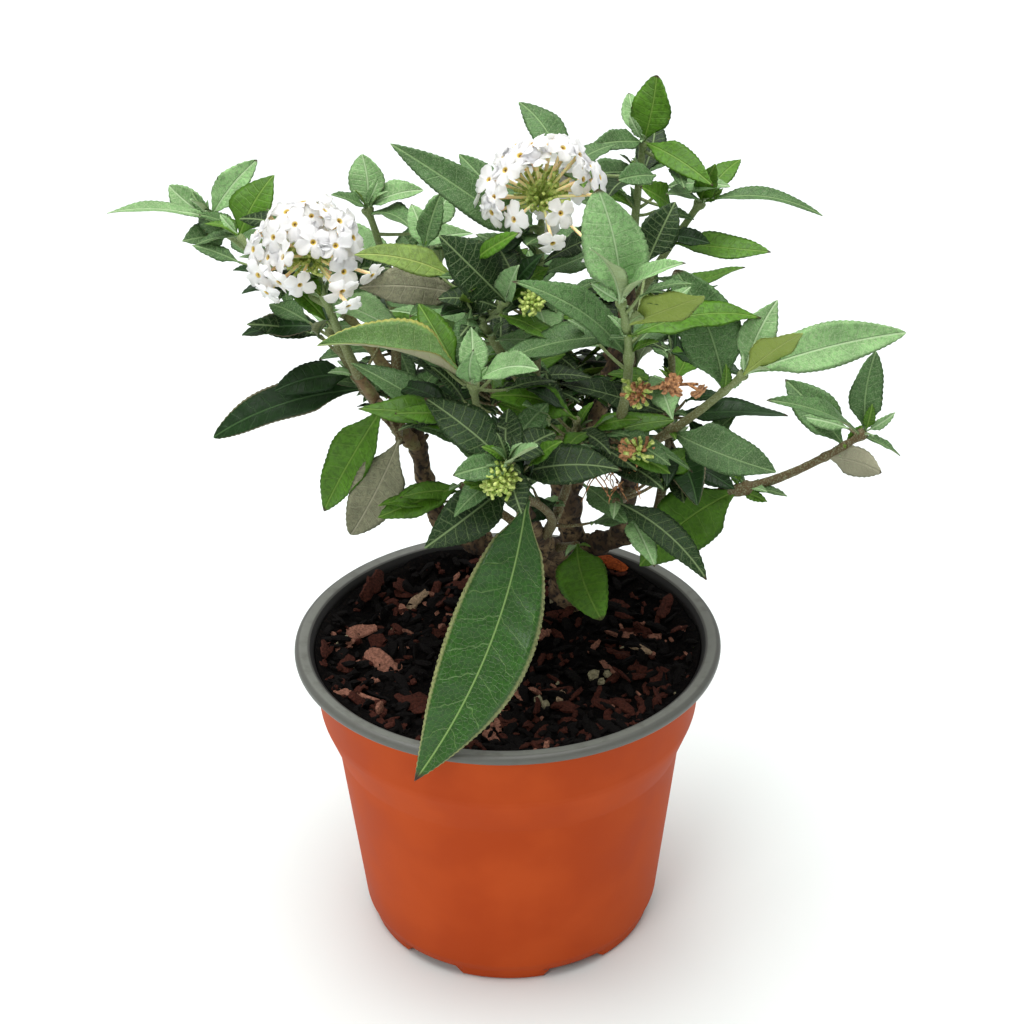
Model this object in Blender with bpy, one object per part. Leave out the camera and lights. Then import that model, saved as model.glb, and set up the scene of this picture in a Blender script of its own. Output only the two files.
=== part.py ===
# A white-flowered butterfly bush in its nursery pot.
#
# The pot is a thin moulded shell with a rolled rim, a shoulder and feet. It is filled
# with bark potting mix. Woody limbs rise from a short trunk, and every limb ends in a
# mass of foliage: one stem, its side twigs, and leaves fused on in opposite pairs.
# The pot stands on z = 0 with its axis on the origin. The viewer stands on the -Y side.

import math
import random

import bmesh
import bpy
import numpy as np
from mathutils import Vector
from mathutils.bvhtree import BVHTree

MM = 0.001
SEED = 26
CLEAR = 0.3            # gap between neighbouring solids, in millimetres

# Pot, in millimetres
POT_HEIGHT = 97.5
RIM_RADIUS = 65.0
RIM_THICK = 3.2
MOUTH_RADIUS = 60.2
WALL = 1.1
FOOT_RADIUS = 44.3
FOOT_TOP = (45.2, 3.6) # radius and height where the foot meets the step-in
BAND_RADIUS = 57.5     # foot of the straight band under the rim
BAND_Z = 75.5
SHOULDER_RADIUS = 53.6
SHOULDER_Z = 63.5
STEP = 0.5             # the small ledge at the shoulder and at the band
LEDGE = 0.8            # how far each ledge spreads up and down
HEEL_RADIUS = 46.6
HEEL_Z = 6.5
FLOOR = 1.4
LIP_CORNER = 0.7       # how far the rim's lower and upper corners are cut
DRAINS = 6
DRAIN_HALF_ANGLE = 13.5
DRAIN_HEIGHT = 4.0
DRAIN_SLOPE = 5.0      # degrees over which a recess rises to its full height
DRAIN_INNER = 33.0
DRAIN_FIRST = -64.0    # the first recess stands right of the front
POT_STEPS = 48

# Potting mix
SOIL_TOP = 89.0
SOIL_STEPS = 24
SOIL_EDGE_DROP = 1.2   # how far the mix has sunk along the wall
SOIL_RINGS = (0.86, 0.66, 0.44, 0.22)
SOIL_LOW, SOIL_HIGH = -0.9, 0.5
TRUNK_FOOT = (22, 35)
FLAT_RADIUS = 16       # the mix is level this far round the trunk
SOIL_MARGIN = 0.05     # the pot has more sides, so its wall is a little nearer

# Leaves
LEAF_THICK = 0.55
LEAF_LEAST_THICK = 1 / 70
LEAF_STATIONS = (0.0, 0.16, 0.40, 0.64, 0.86)
WIDEST_AT = 0.46
FOLD = 0.16            # how far the margins rise, against the half width
LEAF_SAG = 0.05
STIFF_LENGTH = 60      # a leaf longer than this hangs straight
TWIG_RADIUS = 1.15
STEM_RADIUS = 1.7

WELD = 0.002           # corners closer than this are joined after a union

# A limb that would touch another starts further out, in steps
PUSH = 0.15
PUSHES = 60

# Flowers
TUBE_RADIUS = 0.65
FLOWER_RADIUS = 5.3
FLOWER_WAIST = 3.3
FLOWER_THICK = 0.7

# Woody limbs: name: (parent, where on the parent, end, bow, first and last radius).
# The bow is how far the middle of the limb stands off the straight line.
LIMBS = {
    "trunk": (None, 0.0, (21, 31, 113), (-1.5, 0, 0), 6.6, 5.0),
    "left_foot_bough": ("trunk", 0.50, (-20, 36, 116), (0, 0, -2), 3.3, 2.9),
    "left_bough": ("left_foot_bough", 1.0, (-27, 31, 156), (-2, 1, 0), 2.8, 2.2),
    "left_front_bough": ("left_bough", 0.74, (-42, 8, 182), (0, 0, -2), 2.1, 1.6),
    "left_rear_bough": ("left_bough", 1.0, (-47, 38, 188), (2, 2, -3), 2.1, 1.6),
    "front_bough": ("trunk", 0.70, (5, -26, 155), (0, 0, -3), 3.0, 2.1),
    "centre_bough": ("trunk", 1.0, (9, 4, 178), (0, 6, 0), 3.4, 2.2),
    "right_bough": ("trunk", 0.88, (65, 0, 146), (0, 0, -3), 3.1, 2.3),
    "tall_bough": ("right_bough", 0.30, (31, -26, 178), (4, 4, 0), 2.4, 1.9),
    "right_rear_bough": ("centre_bough", 0.22, (38, 40, 196), (3, 4, 0), 2.5, 1.8),
}

# Foliage: name: stems, each a list of twigs.
# A twig is (limb or twig it grows from, where on it, end, bow, leaves, pairs by rule).
# A leaf is (where on its twig, heading, rise, length, width, how far its face is
# turned to the viewer). A heading of 0 points right, 90 away from the viewer.
SHOOTS = {
    "left_tip_foliage": [
        ("left_rear_bough", 1.0, (-85, 34, 221), (0, 2, -3), [
            (1.0, 189, 9, 30, 7, 0.2), (1.0, 25, 45, 22, 9, 0.8),
            (1.0, 146, 26, 17, 8, 0.8), (0.88, 213, 4, 15, 10, 0.8),
            (1.0, 245, 42, 14, 5, 0.4), (0.62, 120, 10, 22, 10, 0.4),
            (0.55, 285, -8, 20, 9, 0.5)], 0)],
    "left_flower_foliage": [
        ("left_front_bough", 1.0, (-53, -3.5, 223), (0, -1.5, -0.7), [
            (0.86, 200, -2, 22, 9, 0.4), (0.72, 20, 6, 24, 10, 0.5)], 1),
        (0, 0.66, (-75, 18, 222), (0, 0, -2), [
            (1.0, 30, 55, 20, 13, 1.2), (1.0, 171, -12, 14, 5, 0.0)], 0)],
    "upper_left_foliage": [
        ("left_rear_bough", 0.40, (-40, 46, 219), (3, 1, 0), [
            (1.0, 100, 65, 16, 11, 1.4), (1.0, 218, 35, 14, 7, 0.4),
            (1.0, 50, 12, 19, 7, 0.0), (1.0, -14, 22, 19, 8, 0.4),
            (0.97, -54, 8, 22, 10, 0.3)], 2)],
    "top_flower_foliage": [
        ("centre_bough", 1.0, (11, -9, 236), (0, 5, 0), [
            (0.84, 177, 38, 50, 12, 0.7), (0.76, 126, 28, 43, 12, 0.3),
            (0.66, 20, 15, 24, 10, 0.4)], 2),
        (0, 0.80, (18, 15, 241), (0, 0, -1), [
            (1.0, 125, 36, 27, 10, 0.8), (1.0, 40, 10, 20, 9, 0.4)], 0)],
    "centre_foliage": [
        ("centre_bough", 0.86, (-12, -16, 222), (-2, 4, 0), [
            (1.0, 188, 24, 29, 10, 0.5), (0.86, 188, 12, 30, 14, 0.6)], 2),
        (0, 0.7, (1, -24, 219), (0, 0, -2), [
            (1.0, 187, 49, 27, 16, 1.0), (0.8, 190, 14, 18, 9, 0.8),
            (1.0, -67, 60, 15, 8, 0.8), (1.0, 20, 40, 15, 8, 0.6)], 0),
        (0, 0.62, (-22, 12, 219), (0, 0, -2), [
            (1.0, 39, 68, 17, 7, 0.5), (1.0, 110, 44, 15, 7, 0.5)], 0)],
    "rear_right_foliage": [
        ("right_rear_bough", 1.0, (42, 47, 238), (0, 2, 0), [
            (1.0, 31, 77, 20, 12, 1.6), (1.0, 107, 40, 17, 8, 0.4),
            (1.0, 215, 12, 19, 8, 0.5), (1.0, -45, -14, 28, 9, 0.9),
            (0.80, 196, 4, 20, 9, 0.6), (0.74, 60, 10, 22, 10, 0.4)], 2)],
    "right_tip_foliage": [
        ("right_rear_bough", 0.80, (59, 42, 221), (-2, 2, -3), [
            (1.0, 3, -3, 37, 7, 0.1), (1.0, 48, 26, 21, 8, 0.2),
            (1.0, -71, 62, 15, 7, 0.8), (1.0, 228, 30, 17, 8, 0.5),
            (0.45, -30, -8, 22, 6, 0.1)], 1)],
    "tall_foliage": [
        ("tall_bough", 1.0, (31, -46, 228), (3, 3, 0), [
            (1.0, 132, 74, 30, 17, 1.6), (1.0, 245, 52, 30, 8, 0.3),
            (1.0, -46, 45, 27, 9, 0.3), (0.82, -46, 33, 33, 12, -1.0),
            (0.56, 206, 44, 43, 12, 0.8), (0.60, 43, 16, 25, 10, 0.5)], 1)],
    "right_foliage": [
        ("tall_bough", 0.78, (65, -36, 202), (0, 0, -2), [
            (1.0, 3, 15, 45, 13, 0.8), (1.0, 42, 56, 22, 10, 0.8),
            (1.0, -46, 44, 27, 10, -0.8), (0.40, -24, -12, 32, 15, 0.6),
            (0.84, 152, 66, 36, 17, 1.3)], 0)],
    "right_arm_foliage": [
        ("right_bough", 1.0, (104, -7, 169), (0, 0, -3), [
            (1.0, 64, 79, 24, 10, 1.8), (0.97, 203, 35, 36, 9, 0.1),
            (0.85, 142, 38, 26, 12, 0.9), (0.72, -36, 2, 19, 9, -1.2),
            (0.97, -10, -22, 13, 5, 0.2), (0.10, 202, -30, 37, 19, 1.2),
            (0.16, -31, 2, 13, 4, 0.2), (0.16, 140, 32, 22, 9, 0.4)], 0)],
    "left_front_foliage": [
        ("front_bough", 0.90, (-8, -44, 204), (-3, 2, 0), [
            (1.0, 186, 23, 43, 14, 0.0), (0.95, 147, 20, 28, 11, 0.4),
            (1.0, -86, 61, 16, 7, 1.0), (1.0, -47, 28, 28, 10, 0.5),
            (1.0, 92, 50, 16, 8, 0.8), (0.55, 166, 32, 44, 13, 0.5)], 1)],
    "rosette_foliage": [
        ("front_bough", 1.0, (1, -58, 187), (0, 2, -2), [
            (1.0, 151, 30, 29, 13, 0.8), (1.0, 205, 2, 16, 8, 0.6),
            (0.85, 203, -27, 19, 8, 0.6), (0.70, 210, -22, 30, 14, 0.9),
            (1.0, -53, 39, 17, 7, 0.6), (1.0, 89, 24, 19, 10, 0.4),
            (1.0, 37, 17, 17, 10, 0.4), (0.95, -74, -33, 14, 9, 0.6),
            (0.80, -4, 4, 30, 13, 0.8)], 0)],
    "hanging_leaf": [
        ("front_bough", 0.66, (6, -46, 170), (5, 0, 0), [
            (1.0, 212, -64, 88, 25, 1.2)], 0)],
    "left_low_foliage": [
        ("left_front_bough", 0.52, (-51, 18, 193), (-1, 1, -2), [
            (0.36, 185, -12, 48, 13, 0.6),
            (1.0, 175, -8, 26, 10, 0.6), (0.52, 190, -4, 24, 10, 0.7),
            (1.0, 95, 20, 22, 10, 0.5)], 0)],
    "left_twisted_leaf": [
        ("left_front_bough", 0.36, (-31, 6, 162), (0, 0, 0), [
            (1.0, 207, -58, 33, 15, 1.5)], 0)],
    "low_left_leaf": [
        ("front_bough", 0.45, (-13, -4, 152), (0, 0, 0), [
            (1.0, 196, -11, 26, 11, 0.4)], 0)],
    "low_centre_leaf": [
        ("front_bough", 0.42, (21, -7, 133), (0, 0, 0), [
            (1.0, -76, -20, 27, 15, 0.9)], 0)],
    "low_right_leaf": [
        ("tall_bough", 0.48, (31, -32, 161), (0, 0, -2), [
            (1.0, -36, -27, 34, 9, 0.9)], 0)],
    "inner_front_foliage": [
        ("front_bough", 0.60, (20, -30, 186), (3, 2, 0), [
            (1.0, 205, 30, 28, 10, 0.7),
            (0.9, -14, -4, 34, 6, 0.2), (0.9, -60, 6, 17, 7, 0.5)], 2)],
    "inner_left_foliage": [
        ("centre_bough", 0.55, (-15, 18, 190), (0, 0, -3), [], 4)],
    "inner_right_foliage": [
        ("right_bough", 0.55, (49, 12, 186), (2, 0, 0), [], 4)],
    "back_left_foliage": [
        ("left_bough", 0.55, (-34, 62, 186), (0, 2, -4), [], 5)],
    "back_foliage": [
        ("centre_bough", 0.40, (4, 68, 190), (0, 0, -5), [], 5)],
    "back_right_foliage": [
        ("right_rear_bough", 0.40, (50, 60, 184), (0, 0, -4), [], 4)],
    "back_low_foliage": [
        ("centre_bough", 0.14, (28, 66, 156), (0, 0, -4), [], 3)],
}

# Flower heads: mass, centre, which way the head looks, radius, flowers, and the
# range of angles from the axis that flowers take up
HEADS = [
    ("left_flower_foliage", (-53, -4, 225), (0.05, -0.35, 0.94), 17.5, 34, (0, 112)),
    ("top_flower_foliage", (11, -9, 243), (0.0, -0.45, 0.9), 17.5, 24, (42, 112)),
]
# Bud clusters: mass, place and radius
BUDS = [
    ("rosette_foliage", (-1, -61, 184), 5.0),
    ("centre_foliage", (8, -30, 221), 3.0),
]
# Dried flower spikes: mass, foot, tip, seed heads
SPIKES = [
    ("tall_foliage", (33, -36, 196), (52, -44, 203), 5),
    ("inner_front_foliage", (27, -24, 172), (38, -38, 180), 6),
]

POT_COLOUR = (0.50, 0.075, 0.022)
MIX_COLOUR = (0.022, 0.013, 0.010)
BARK_COLOUR = (0.115, 0.062, 0.034)
LEAF_COLOUR = (0.060, 0.150, 0.062)


def material(name, colour, roughness):
    made = bpy.data.materials.new(name)
    made.use_nodes = True
    shader = made.node_tree.nodes["Principled BSDF"]
    shader.inputs["Base Color"].default_value = (*colour, 1.0)
    shader.inputs["Roughness"].default_value = roughness
    shader.inputs["Metallic"].default_value = 0.0
    made.diffuse_color = (*colour, 1.0)
    return made


def add_object(name, points, faces, look=None):
    """Make one object from points in millimetres."""
    mesh = bpy.data.meshes.new(name)
    mesh.from_pydata([tuple(c * MM for c in p) for p in points], [], faces)
    mesh.update()
    made = bpy.data.objects.new(name, mesh)
    bpy.context.scene.collection.objects.link(made)
    if look:
        mesh.materials.append(look)
    return made


def smooth(made, angle):
    for polygon in made.data.polygons:
        polygon.use_smooth = True
    edges = bmesh.new()
    edges.from_mesh(made.data)
    for edge in edges.edges:
        edge.smooth = edge.calc_face_angle(math.pi) < math.radians(angle)
    edges.to_mesh(made.data)
    edges.free()


# Pot and potting mix

def drain_lift(turn, radius):
    """How far the underside is raised at this heading, by the nearest drain recess."""
    pitch = 360.0 / DRAINS
    off = abs((turn - DRAIN_FIRST + pitch / 2) % pitch - pitch / 2)
    if off >= DRAIN_HALF_ANGLE or radius < DRAIN_INNER:
        return 0.0
    return DRAIN_HEIGHT * min(1.0, (DRAIN_HALF_ANGLE - off) / DRAIN_SLOPE)


def pot_outline():
    """Radius and height round the section, from the outside of the foot to the inside."""
    lip = POT_HEIGHT - RIM_THICK
    outside = [
        (FOOT_RADIUS, 0.0), FOOT_TOP, (HEEL_RADIUS, HEEL_Z),
        (SHOULDER_RADIUS - STEP, SHOULDER_Z - LEDGE), (SHOULDER_RADIUS, SHOULDER_Z + STEP),
        (BAND_RADIUS, BAND_Z - LEDGE), (BAND_RADIUS + STEP, BAND_Z + LEDGE),
        (MOUTH_RADIUS, lip + CLEAR), (RIM_RADIUS - LIP_CORNER, lip),
        (RIM_RADIUS, lip + LIP_CORNER), (RIM_RADIUS, POT_HEIGHT - LIP_CORNER),
        (RIM_RADIUS - 2 * LIP_CORNER, POT_HEIGHT)]
    inside = [
        (MOUTH_RADIUS + STEP, POT_HEIGHT - STEP), (MOUTH_RADIUS - WALL, POT_HEIGHT - 2 * WALL),
        (BAND_RADIUS + STEP - WALL, BAND_Z + LEDGE), (BAND_RADIUS - WALL, BAND_Z - STEP),
        (SHOULDER_RADIUS - WALL, SHOULDER_Z + LEDGE),
        (SHOULDER_RADIUS - STEP - WALL, SHOULDER_Z - WALL),
        (HEEL_RADIUS - WALL, HEEL_Z + STEP), (FOOT_RADIUS - WALL, DRAIN_HEIGHT + FLOOR)]
    return outside, inside


def make_pot():
    outside, inside = pot_outline()
    rings = outside + inside
    points, faces = [], []
    for radius, height in rings:
        for step in range(POT_STEPS):
            turn = 360.0 * step / POT_STEPS
            lift = drain_lift(turn, radius) if height == 0.0 else 0.0
            a = math.radians(turn)
            points.append((radius * math.cos(a), radius * math.sin(a), height + lift))
    for ring in range(len(rings) - 1):
        for step in range(POT_STEPS):
            nxt = (step + 1) % POT_STEPS
            a, b = ring * POT_STEPS, (ring + 1) * POT_STEPS
            faces.append((a + step, a + nxt, b + nxt, b + step))
    # the inside floor
    last = (len(rings) - 1) * POT_STEPS
    centre = len(points)
    points.append((0, 0, DRAIN_HEIGHT + FLOOR))
    for step in range(POT_STEPS):
        faces.append((last + step, last + (step + 1) % POT_STEPS, centre))
    # the underside, with its drain recesses open to the side
    first = 0
    for radius in (DRAIN_INNER + 0.8, DRAIN_INNER - 0.1):
        ring = len(points)
        for step in range(POT_STEPS):
            turn = 360.0 * step / POT_STEPS
            a = math.radians(turn)
            points.append((radius * math.cos(a), radius * math.sin(a),
                           drain_lift(turn, radius)))
        for step in range(POT_STEPS):
            nxt = (step + 1) % POT_STEPS
            faces.append((first + nxt, first + step, ring + step, ring + nxt))
        first = ring
    centre = len(points)
    points.append((0, 0, 0))
    for step in range(POT_STEPS):
        faces.append((first + (step + 1) % POT_STEPS, first + step, centre))
    pot = add_object("pot", points, faces, material("orange polypropylene", POT_COLOUR, 0.42))
    smooth(pot, 32)
    return pot


def make_soil():
    """The potting mix, 0.3 mm clear of the pot, with a lightly heaped and dented top."""
    rng = random.Random(SEED)
    _, inside = pot_outline()
    wall = [(r - CLEAR, z) for r, z in reversed(inside[2:])]
    wall[0] = (wall[0][0], wall[0][1] + CLEAR)
    edge = SOIL_TOP - SOIL_EDGE_DROP
    (high_radius, high_z), (low_radius, low_z) = inside[1:3]
    share = (edge - low_z) / (high_z - low_z)
    brim = low_radius + (high_radius - low_radius) * share - CLEAR - SOIL_MARGIN
    rings = wall + [(brim, edge)]
    top = [(brim * share, SOIL_TOP) for share in SOIL_RINGS]
    points, faces = [], []
    for number, (radius, height) in enumerate(rings + top):
        for step in range(SOIL_STEPS):
            a = 2 * math.pi * step / SOIL_STEPS
            # the top is a little rough, but flat under the trunk
            x, y = radius * math.cos(a), radius * math.sin(a)
            rough = 0.0
            if number >= len(rings) and math.dist((x, y), TRUNK_FOOT) > FLAT_RADIUS:
                rough = rng.uniform(SOIL_LOW, SOIL_HIGH)
            points.append((x, y, height + rough))
    for ring in range(len(rings) + len(top) - 1):
        for step in range(SOIL_STEPS):
            nxt = (step + 1) % SOIL_STEPS
            a, b = ring * SOIL_STEPS, (ring + 1) * SOIL_STEPS
            faces.append((a + step, a + nxt, b + nxt, b + step))
    last = (len(rings) + len(top) - 1) * SOIL_STEPS
    for start, height, turned in ((0, wall[0][1], True), (last, SOIL_TOP, False)):
        centre = len(points)
        points.append((0, 0, height))
        for step in range(SOIL_STEPS):
            one, two = start + step, start + (step + 1) % SOIL_STEPS
            faces.append((two, one, centre) if turned else (one, two, centre))
    soil = add_object("potting_mix", points, faces, material("potting mix", MIX_COLOUR, 0.95))
    smooth(soil, 30)
    return soil


# Limbs and twigs

def curve(start, end, bow, t):
    """A point on the arc from start to end that stands off by the bow at half way."""
    straight = start.lerp(end, t)
    return straight + Vector(bow) * 4 * t * (1 - t)


class Limb:
    """A tapering limb along an arc. Its solid begins part of the way along the arc,
    clear of the limb that it grows from."""

    def __init__(self, root, end, bow, first, last, begin=0.0):
        self.root, self.end, self.bow = Vector(root), Vector(end), Vector(bow)
        self.first, self.last, self.begin = first, last, begin

    def at(self, t):
        return curve(self.root, self.end, self.bow, t)

    def radius(self, t):
        return self.first + (self.last - self.first) * t

    def heading(self, t):
        return (self.at(min(1, t + 0.01)) - self.at(max(0, t - 0.01))).normalized()


def grow_from(parent, where, end, bow, first, last, push=0.0):
    """A limb that starts clear of its parent, at its tip or on its side."""
    root, end = parent.at(where), Vector(end)
    gap = CLEAR + push + (0 if where == 1.0 else parent.radius(where))
    return Limb(root, end, bow, first, last, gap / (end - root).length)


def fatter(limb):
    """The limb with the clearance added all round and at its foot."""
    back = limb.begin - CLEAR / (limb.end - limb.root).length
    return Limb(limb.root, limb.end, limb.bow, limb.first + CLEAR, limb.last + CLEAR, back)


def frame(heading, hint=Vector((0, 0, 1))):
    side = heading.cross(hint)
    if side.length < 0.05:
        side = heading.cross(Vector((0, 1, 0)))
    side.normalize()
    return side, side.cross(heading).normalized()


def tube(limb, steps, sides, flare=0.0):
    """Rings round a limb's path, closed with a flat cut at each end."""
    points, faces = [], []
    side, up = frame(limb.heading(limb.begin))
    for step in range(steps + 1):
        share = step / steps
        t = limb.begin + (1 - limb.begin) * share
        heading = limb.heading(t)
        side = (side - heading * side.dot(heading)).normalized()
        up = side.cross(heading)
        radius = limb.radius(t) * (1 + flare * (1 - share) ** 4)
        centre = limb.at(t)
        for k in range(sides):
            a = 2 * math.pi * k / sides
            p = centre + side * (radius * math.cos(a)) + up * (radius * math.sin(a))
            if flare and step == 0:
                p.z = limb.root.z
            points.append(p)
    for step in range(steps):
        for k in range(sides):
            n = (k + 1) % sides
            a, b = step * sides, (step + 1) * sides
            faces.append((a + n, a + k, b + k, b + n))
    faces.append(tuple(range(sides)))
    faces.append(tuple(range(steps * sides + sides - 1, steps * sides - 1, -1)))
    return points, faces


# Leaves, flowers, buds and dried spikes

def half_width(t):
    """The outline of a leaf: a narrow stalk, an elliptic blade and a drawn-out tip."""
    if t <= 0.0:
        return 0.09
    swell = math.sin(math.pi * t ** (math.log(0.5) / math.log(WIDEST_AT))) ** 0.9
    return max(0.09 * (1 - t), swell * min(1.0, 0.35 + 4.2 * t * t + 0.9 * t))


def leaf_axes(heading, rise, tilt):
    """A leaf's own length, width and face directions."""
    a, r = math.radians(heading), math.radians(rise)
    along = Vector((math.cos(a) * math.cos(r), math.sin(a) * math.cos(r), math.sin(r)))
    face = Vector((0.0, -tilt, 1.0))
    if tilt <= -0.5:
        face = Vector((0.0, 1.0, 1.0 + tilt))
    face -= along * face.dot(along)
    face.normalize()
    return along, face.cross(along), face


def leaf(base, heading, rise, length, width, tilt, sag, spare=0.0):
    """A folded blade with a lens-shaped section. Spare widens it all round."""
    along, across, face = leaf_axes(heading, rise, tilt)
    thick = max(LEAF_THICK, length * LEAF_LEAST_THICK) / 2 + spare
    points, faces = [], []
    for t in LEAF_STATIONS:
        half = half_width(t) * width / 2 + spare
        lift = sag * length * 4 * t * (1 - t)
        axis = base + along * (length * t) + face * lift
        edge = face * (FOLD * half)
        rib = thick * (1.0 if t > 0 else 0.9)
        points += [axis - across * half + edge, axis - face * rib,
                   axis + across * half + edge, axis + face * rib]
    points.append(base + along * (length + spare))
    for s in range(len(LEAF_STATIONS) - 1):
        for k in range(4):
            n = (k + 1) % 4
            faces.append((4 * s + n, 4 * s + k, 4 * s + 4 + k, 4 * s + 4 + n))
    last, tip = 4 * (len(LEAF_STATIONS) - 1), len(points) - 1
    for k in range(4):
        faces.append((last + (k + 1) % 4, last + k, tip))
    faces.append((0, 1, 2, 3))
    return points, faces


def flower(root, way, reach, spare=0.0):
    """A slender tube with a flat four-lobed face at its end."""
    side, up = frame(way)
    points, faces = tube(Limb(root, root + way * reach, (0, 0, 0),
                              0.7 * TUBE_RADIUS, TUBE_RADIUS), 1, 3)
    start = len(points)
    for level in (-FLOWER_THICK / 2 - spare, FLOWER_THICK / 2 + spare):
        for k in range(8):
            radius = (FLOWER_RADIUS if k % 2 == 0 else FLOWER_WAIST) + spare
            a = math.radians(45 * k)
            points.append(root + way * (reach + level) + side * (radius * math.cos(a))
                          + up * (radius * math.sin(a)))
    for k in range(8):
        n = (k + 1) % 8
        faces.append((start + n, start + k, start + 8 + k, start + 8 + n))
    faces.append(tuple(start + k for k in range(8)))
    faces.append(tuple(start + 8 + k for k in range(7, -1, -1)))
    return points, faces, start


def ball(centre, radius, rough=0.0, rng=None):
    """A small closed lump of 20 faces."""
    g = (1 + 5 ** 0.5) / 2
    corners = [(-1, g, 0), (1, g, 0), (-1, -g, 0), (1, -g, 0), (0, -1, g), (0, 1, g),
               (0, -1, -g), (0, 1, -g), (g, 0, -1), (g, 0, 1), (-g, 0, -1), (-g, 0, 1)]
    faces = [(0, 11, 5), (0, 5, 1), (0, 1, 7), (0, 7, 10), (0, 10, 11),
             (1, 5, 9), (5, 11, 4), (11, 10, 2), (10, 7, 6), (7, 1, 8),
             (3, 9, 4), (3, 4, 2), (3, 2, 6), (3, 6, 8), (3, 8, 9),
             (4, 9, 5), (2, 4, 11), (6, 2, 10), (8, 6, 7), (9, 8, 1)]
    points = []
    for corner in corners:
        size = radius * (1 + (rng.uniform(-rough, rough) if rng else 0))
        points.append(Vector(centre) + Vector(corner).normalized() * size)
    return points, faces


def head_directions(axis, count, span):
    """Directions spread evenly over part of a ball round the axis."""
    axis = Vector(axis).normalized()
    side, up = frame(axis)
    low, high = (math.cos(math.radians(a)) for a in reversed(span))
    for number in range(count):
        c = high + (low - high) * (number + 0.5) / count
        s = math.sqrt(max(0.0, 1 - c * c))
        a = number * math.pi * (3 - 5 ** 0.5)
        yield (axis * c + side * (s * math.cos(a)) + up * (s * math.sin(a))).normalized()


# Growing

class Crown:
    """Every solid that is in place, so that a new one can keep clear of the others."""

    def __init__(self):
        self.trees = []

    def add(self, owner, points, faces):
        low = np.min([tuple(p) for p in points], axis=0)
        high = np.max([tuple(p) for p in points], axis=0)
        self.trees.append((owner, low, high, BVHTree.FromPolygons(points, faces)))

    def blocker(self, owner, points, faces):
        """Tell whether the shape would cut another mass or limb."""
        low = np.min([tuple(p) for p in points], axis=0)
        high = np.max([tuple(p) for p in points], axis=0)
        tree = None
        for other, bottom, top, standing in self.trees:
            if other == owner or (low > top).any() or (high < bottom).any():
                continue
            tree = tree or BVHTree.FromPolygons(points, faces)
            if tree.overlap(standing):
                return True
        return False


# Where the leaves that stand in no list stop on a twig whose tip has listed leaves
RULE_TOP = 0.72
# Small turns that are tried in this order until a leaf is clear of its neighbours
TURNS = ((0, 0), (0, 5), (0, -5), (6, 0), (-6, 0), (6, 6), (-6, 6), (6, -6), (-6, -6),
         (0, 10), (0, -10), (12, 0), (-12, 0), (12, 8), (-12, 8))


def rule_leaves(pairs, top, rng):
    """Opposite pairs up a twig, each at right angles to the last, smaller to the tip."""
    heading = rng.uniform(0, 360)
    for number in range(pairs):
        where = 0.30 + (top - 0.30) * (number + 1) / pairs
        length = rng.uniform(26, 33) * (1.15 - 0.35 * number / max(1, pairs))
        for half in range(2):
            turn = heading + 180 * half + rng.uniform(-14, 14)
            rise = rng.uniform(-8, 22) + 14 * number / max(1, pairs)
            yield where, turn, rise, length, length * rng.uniform(0.32, 0.38), 0.25
        heading += 90 + rng.uniform(-12, 12)


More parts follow.
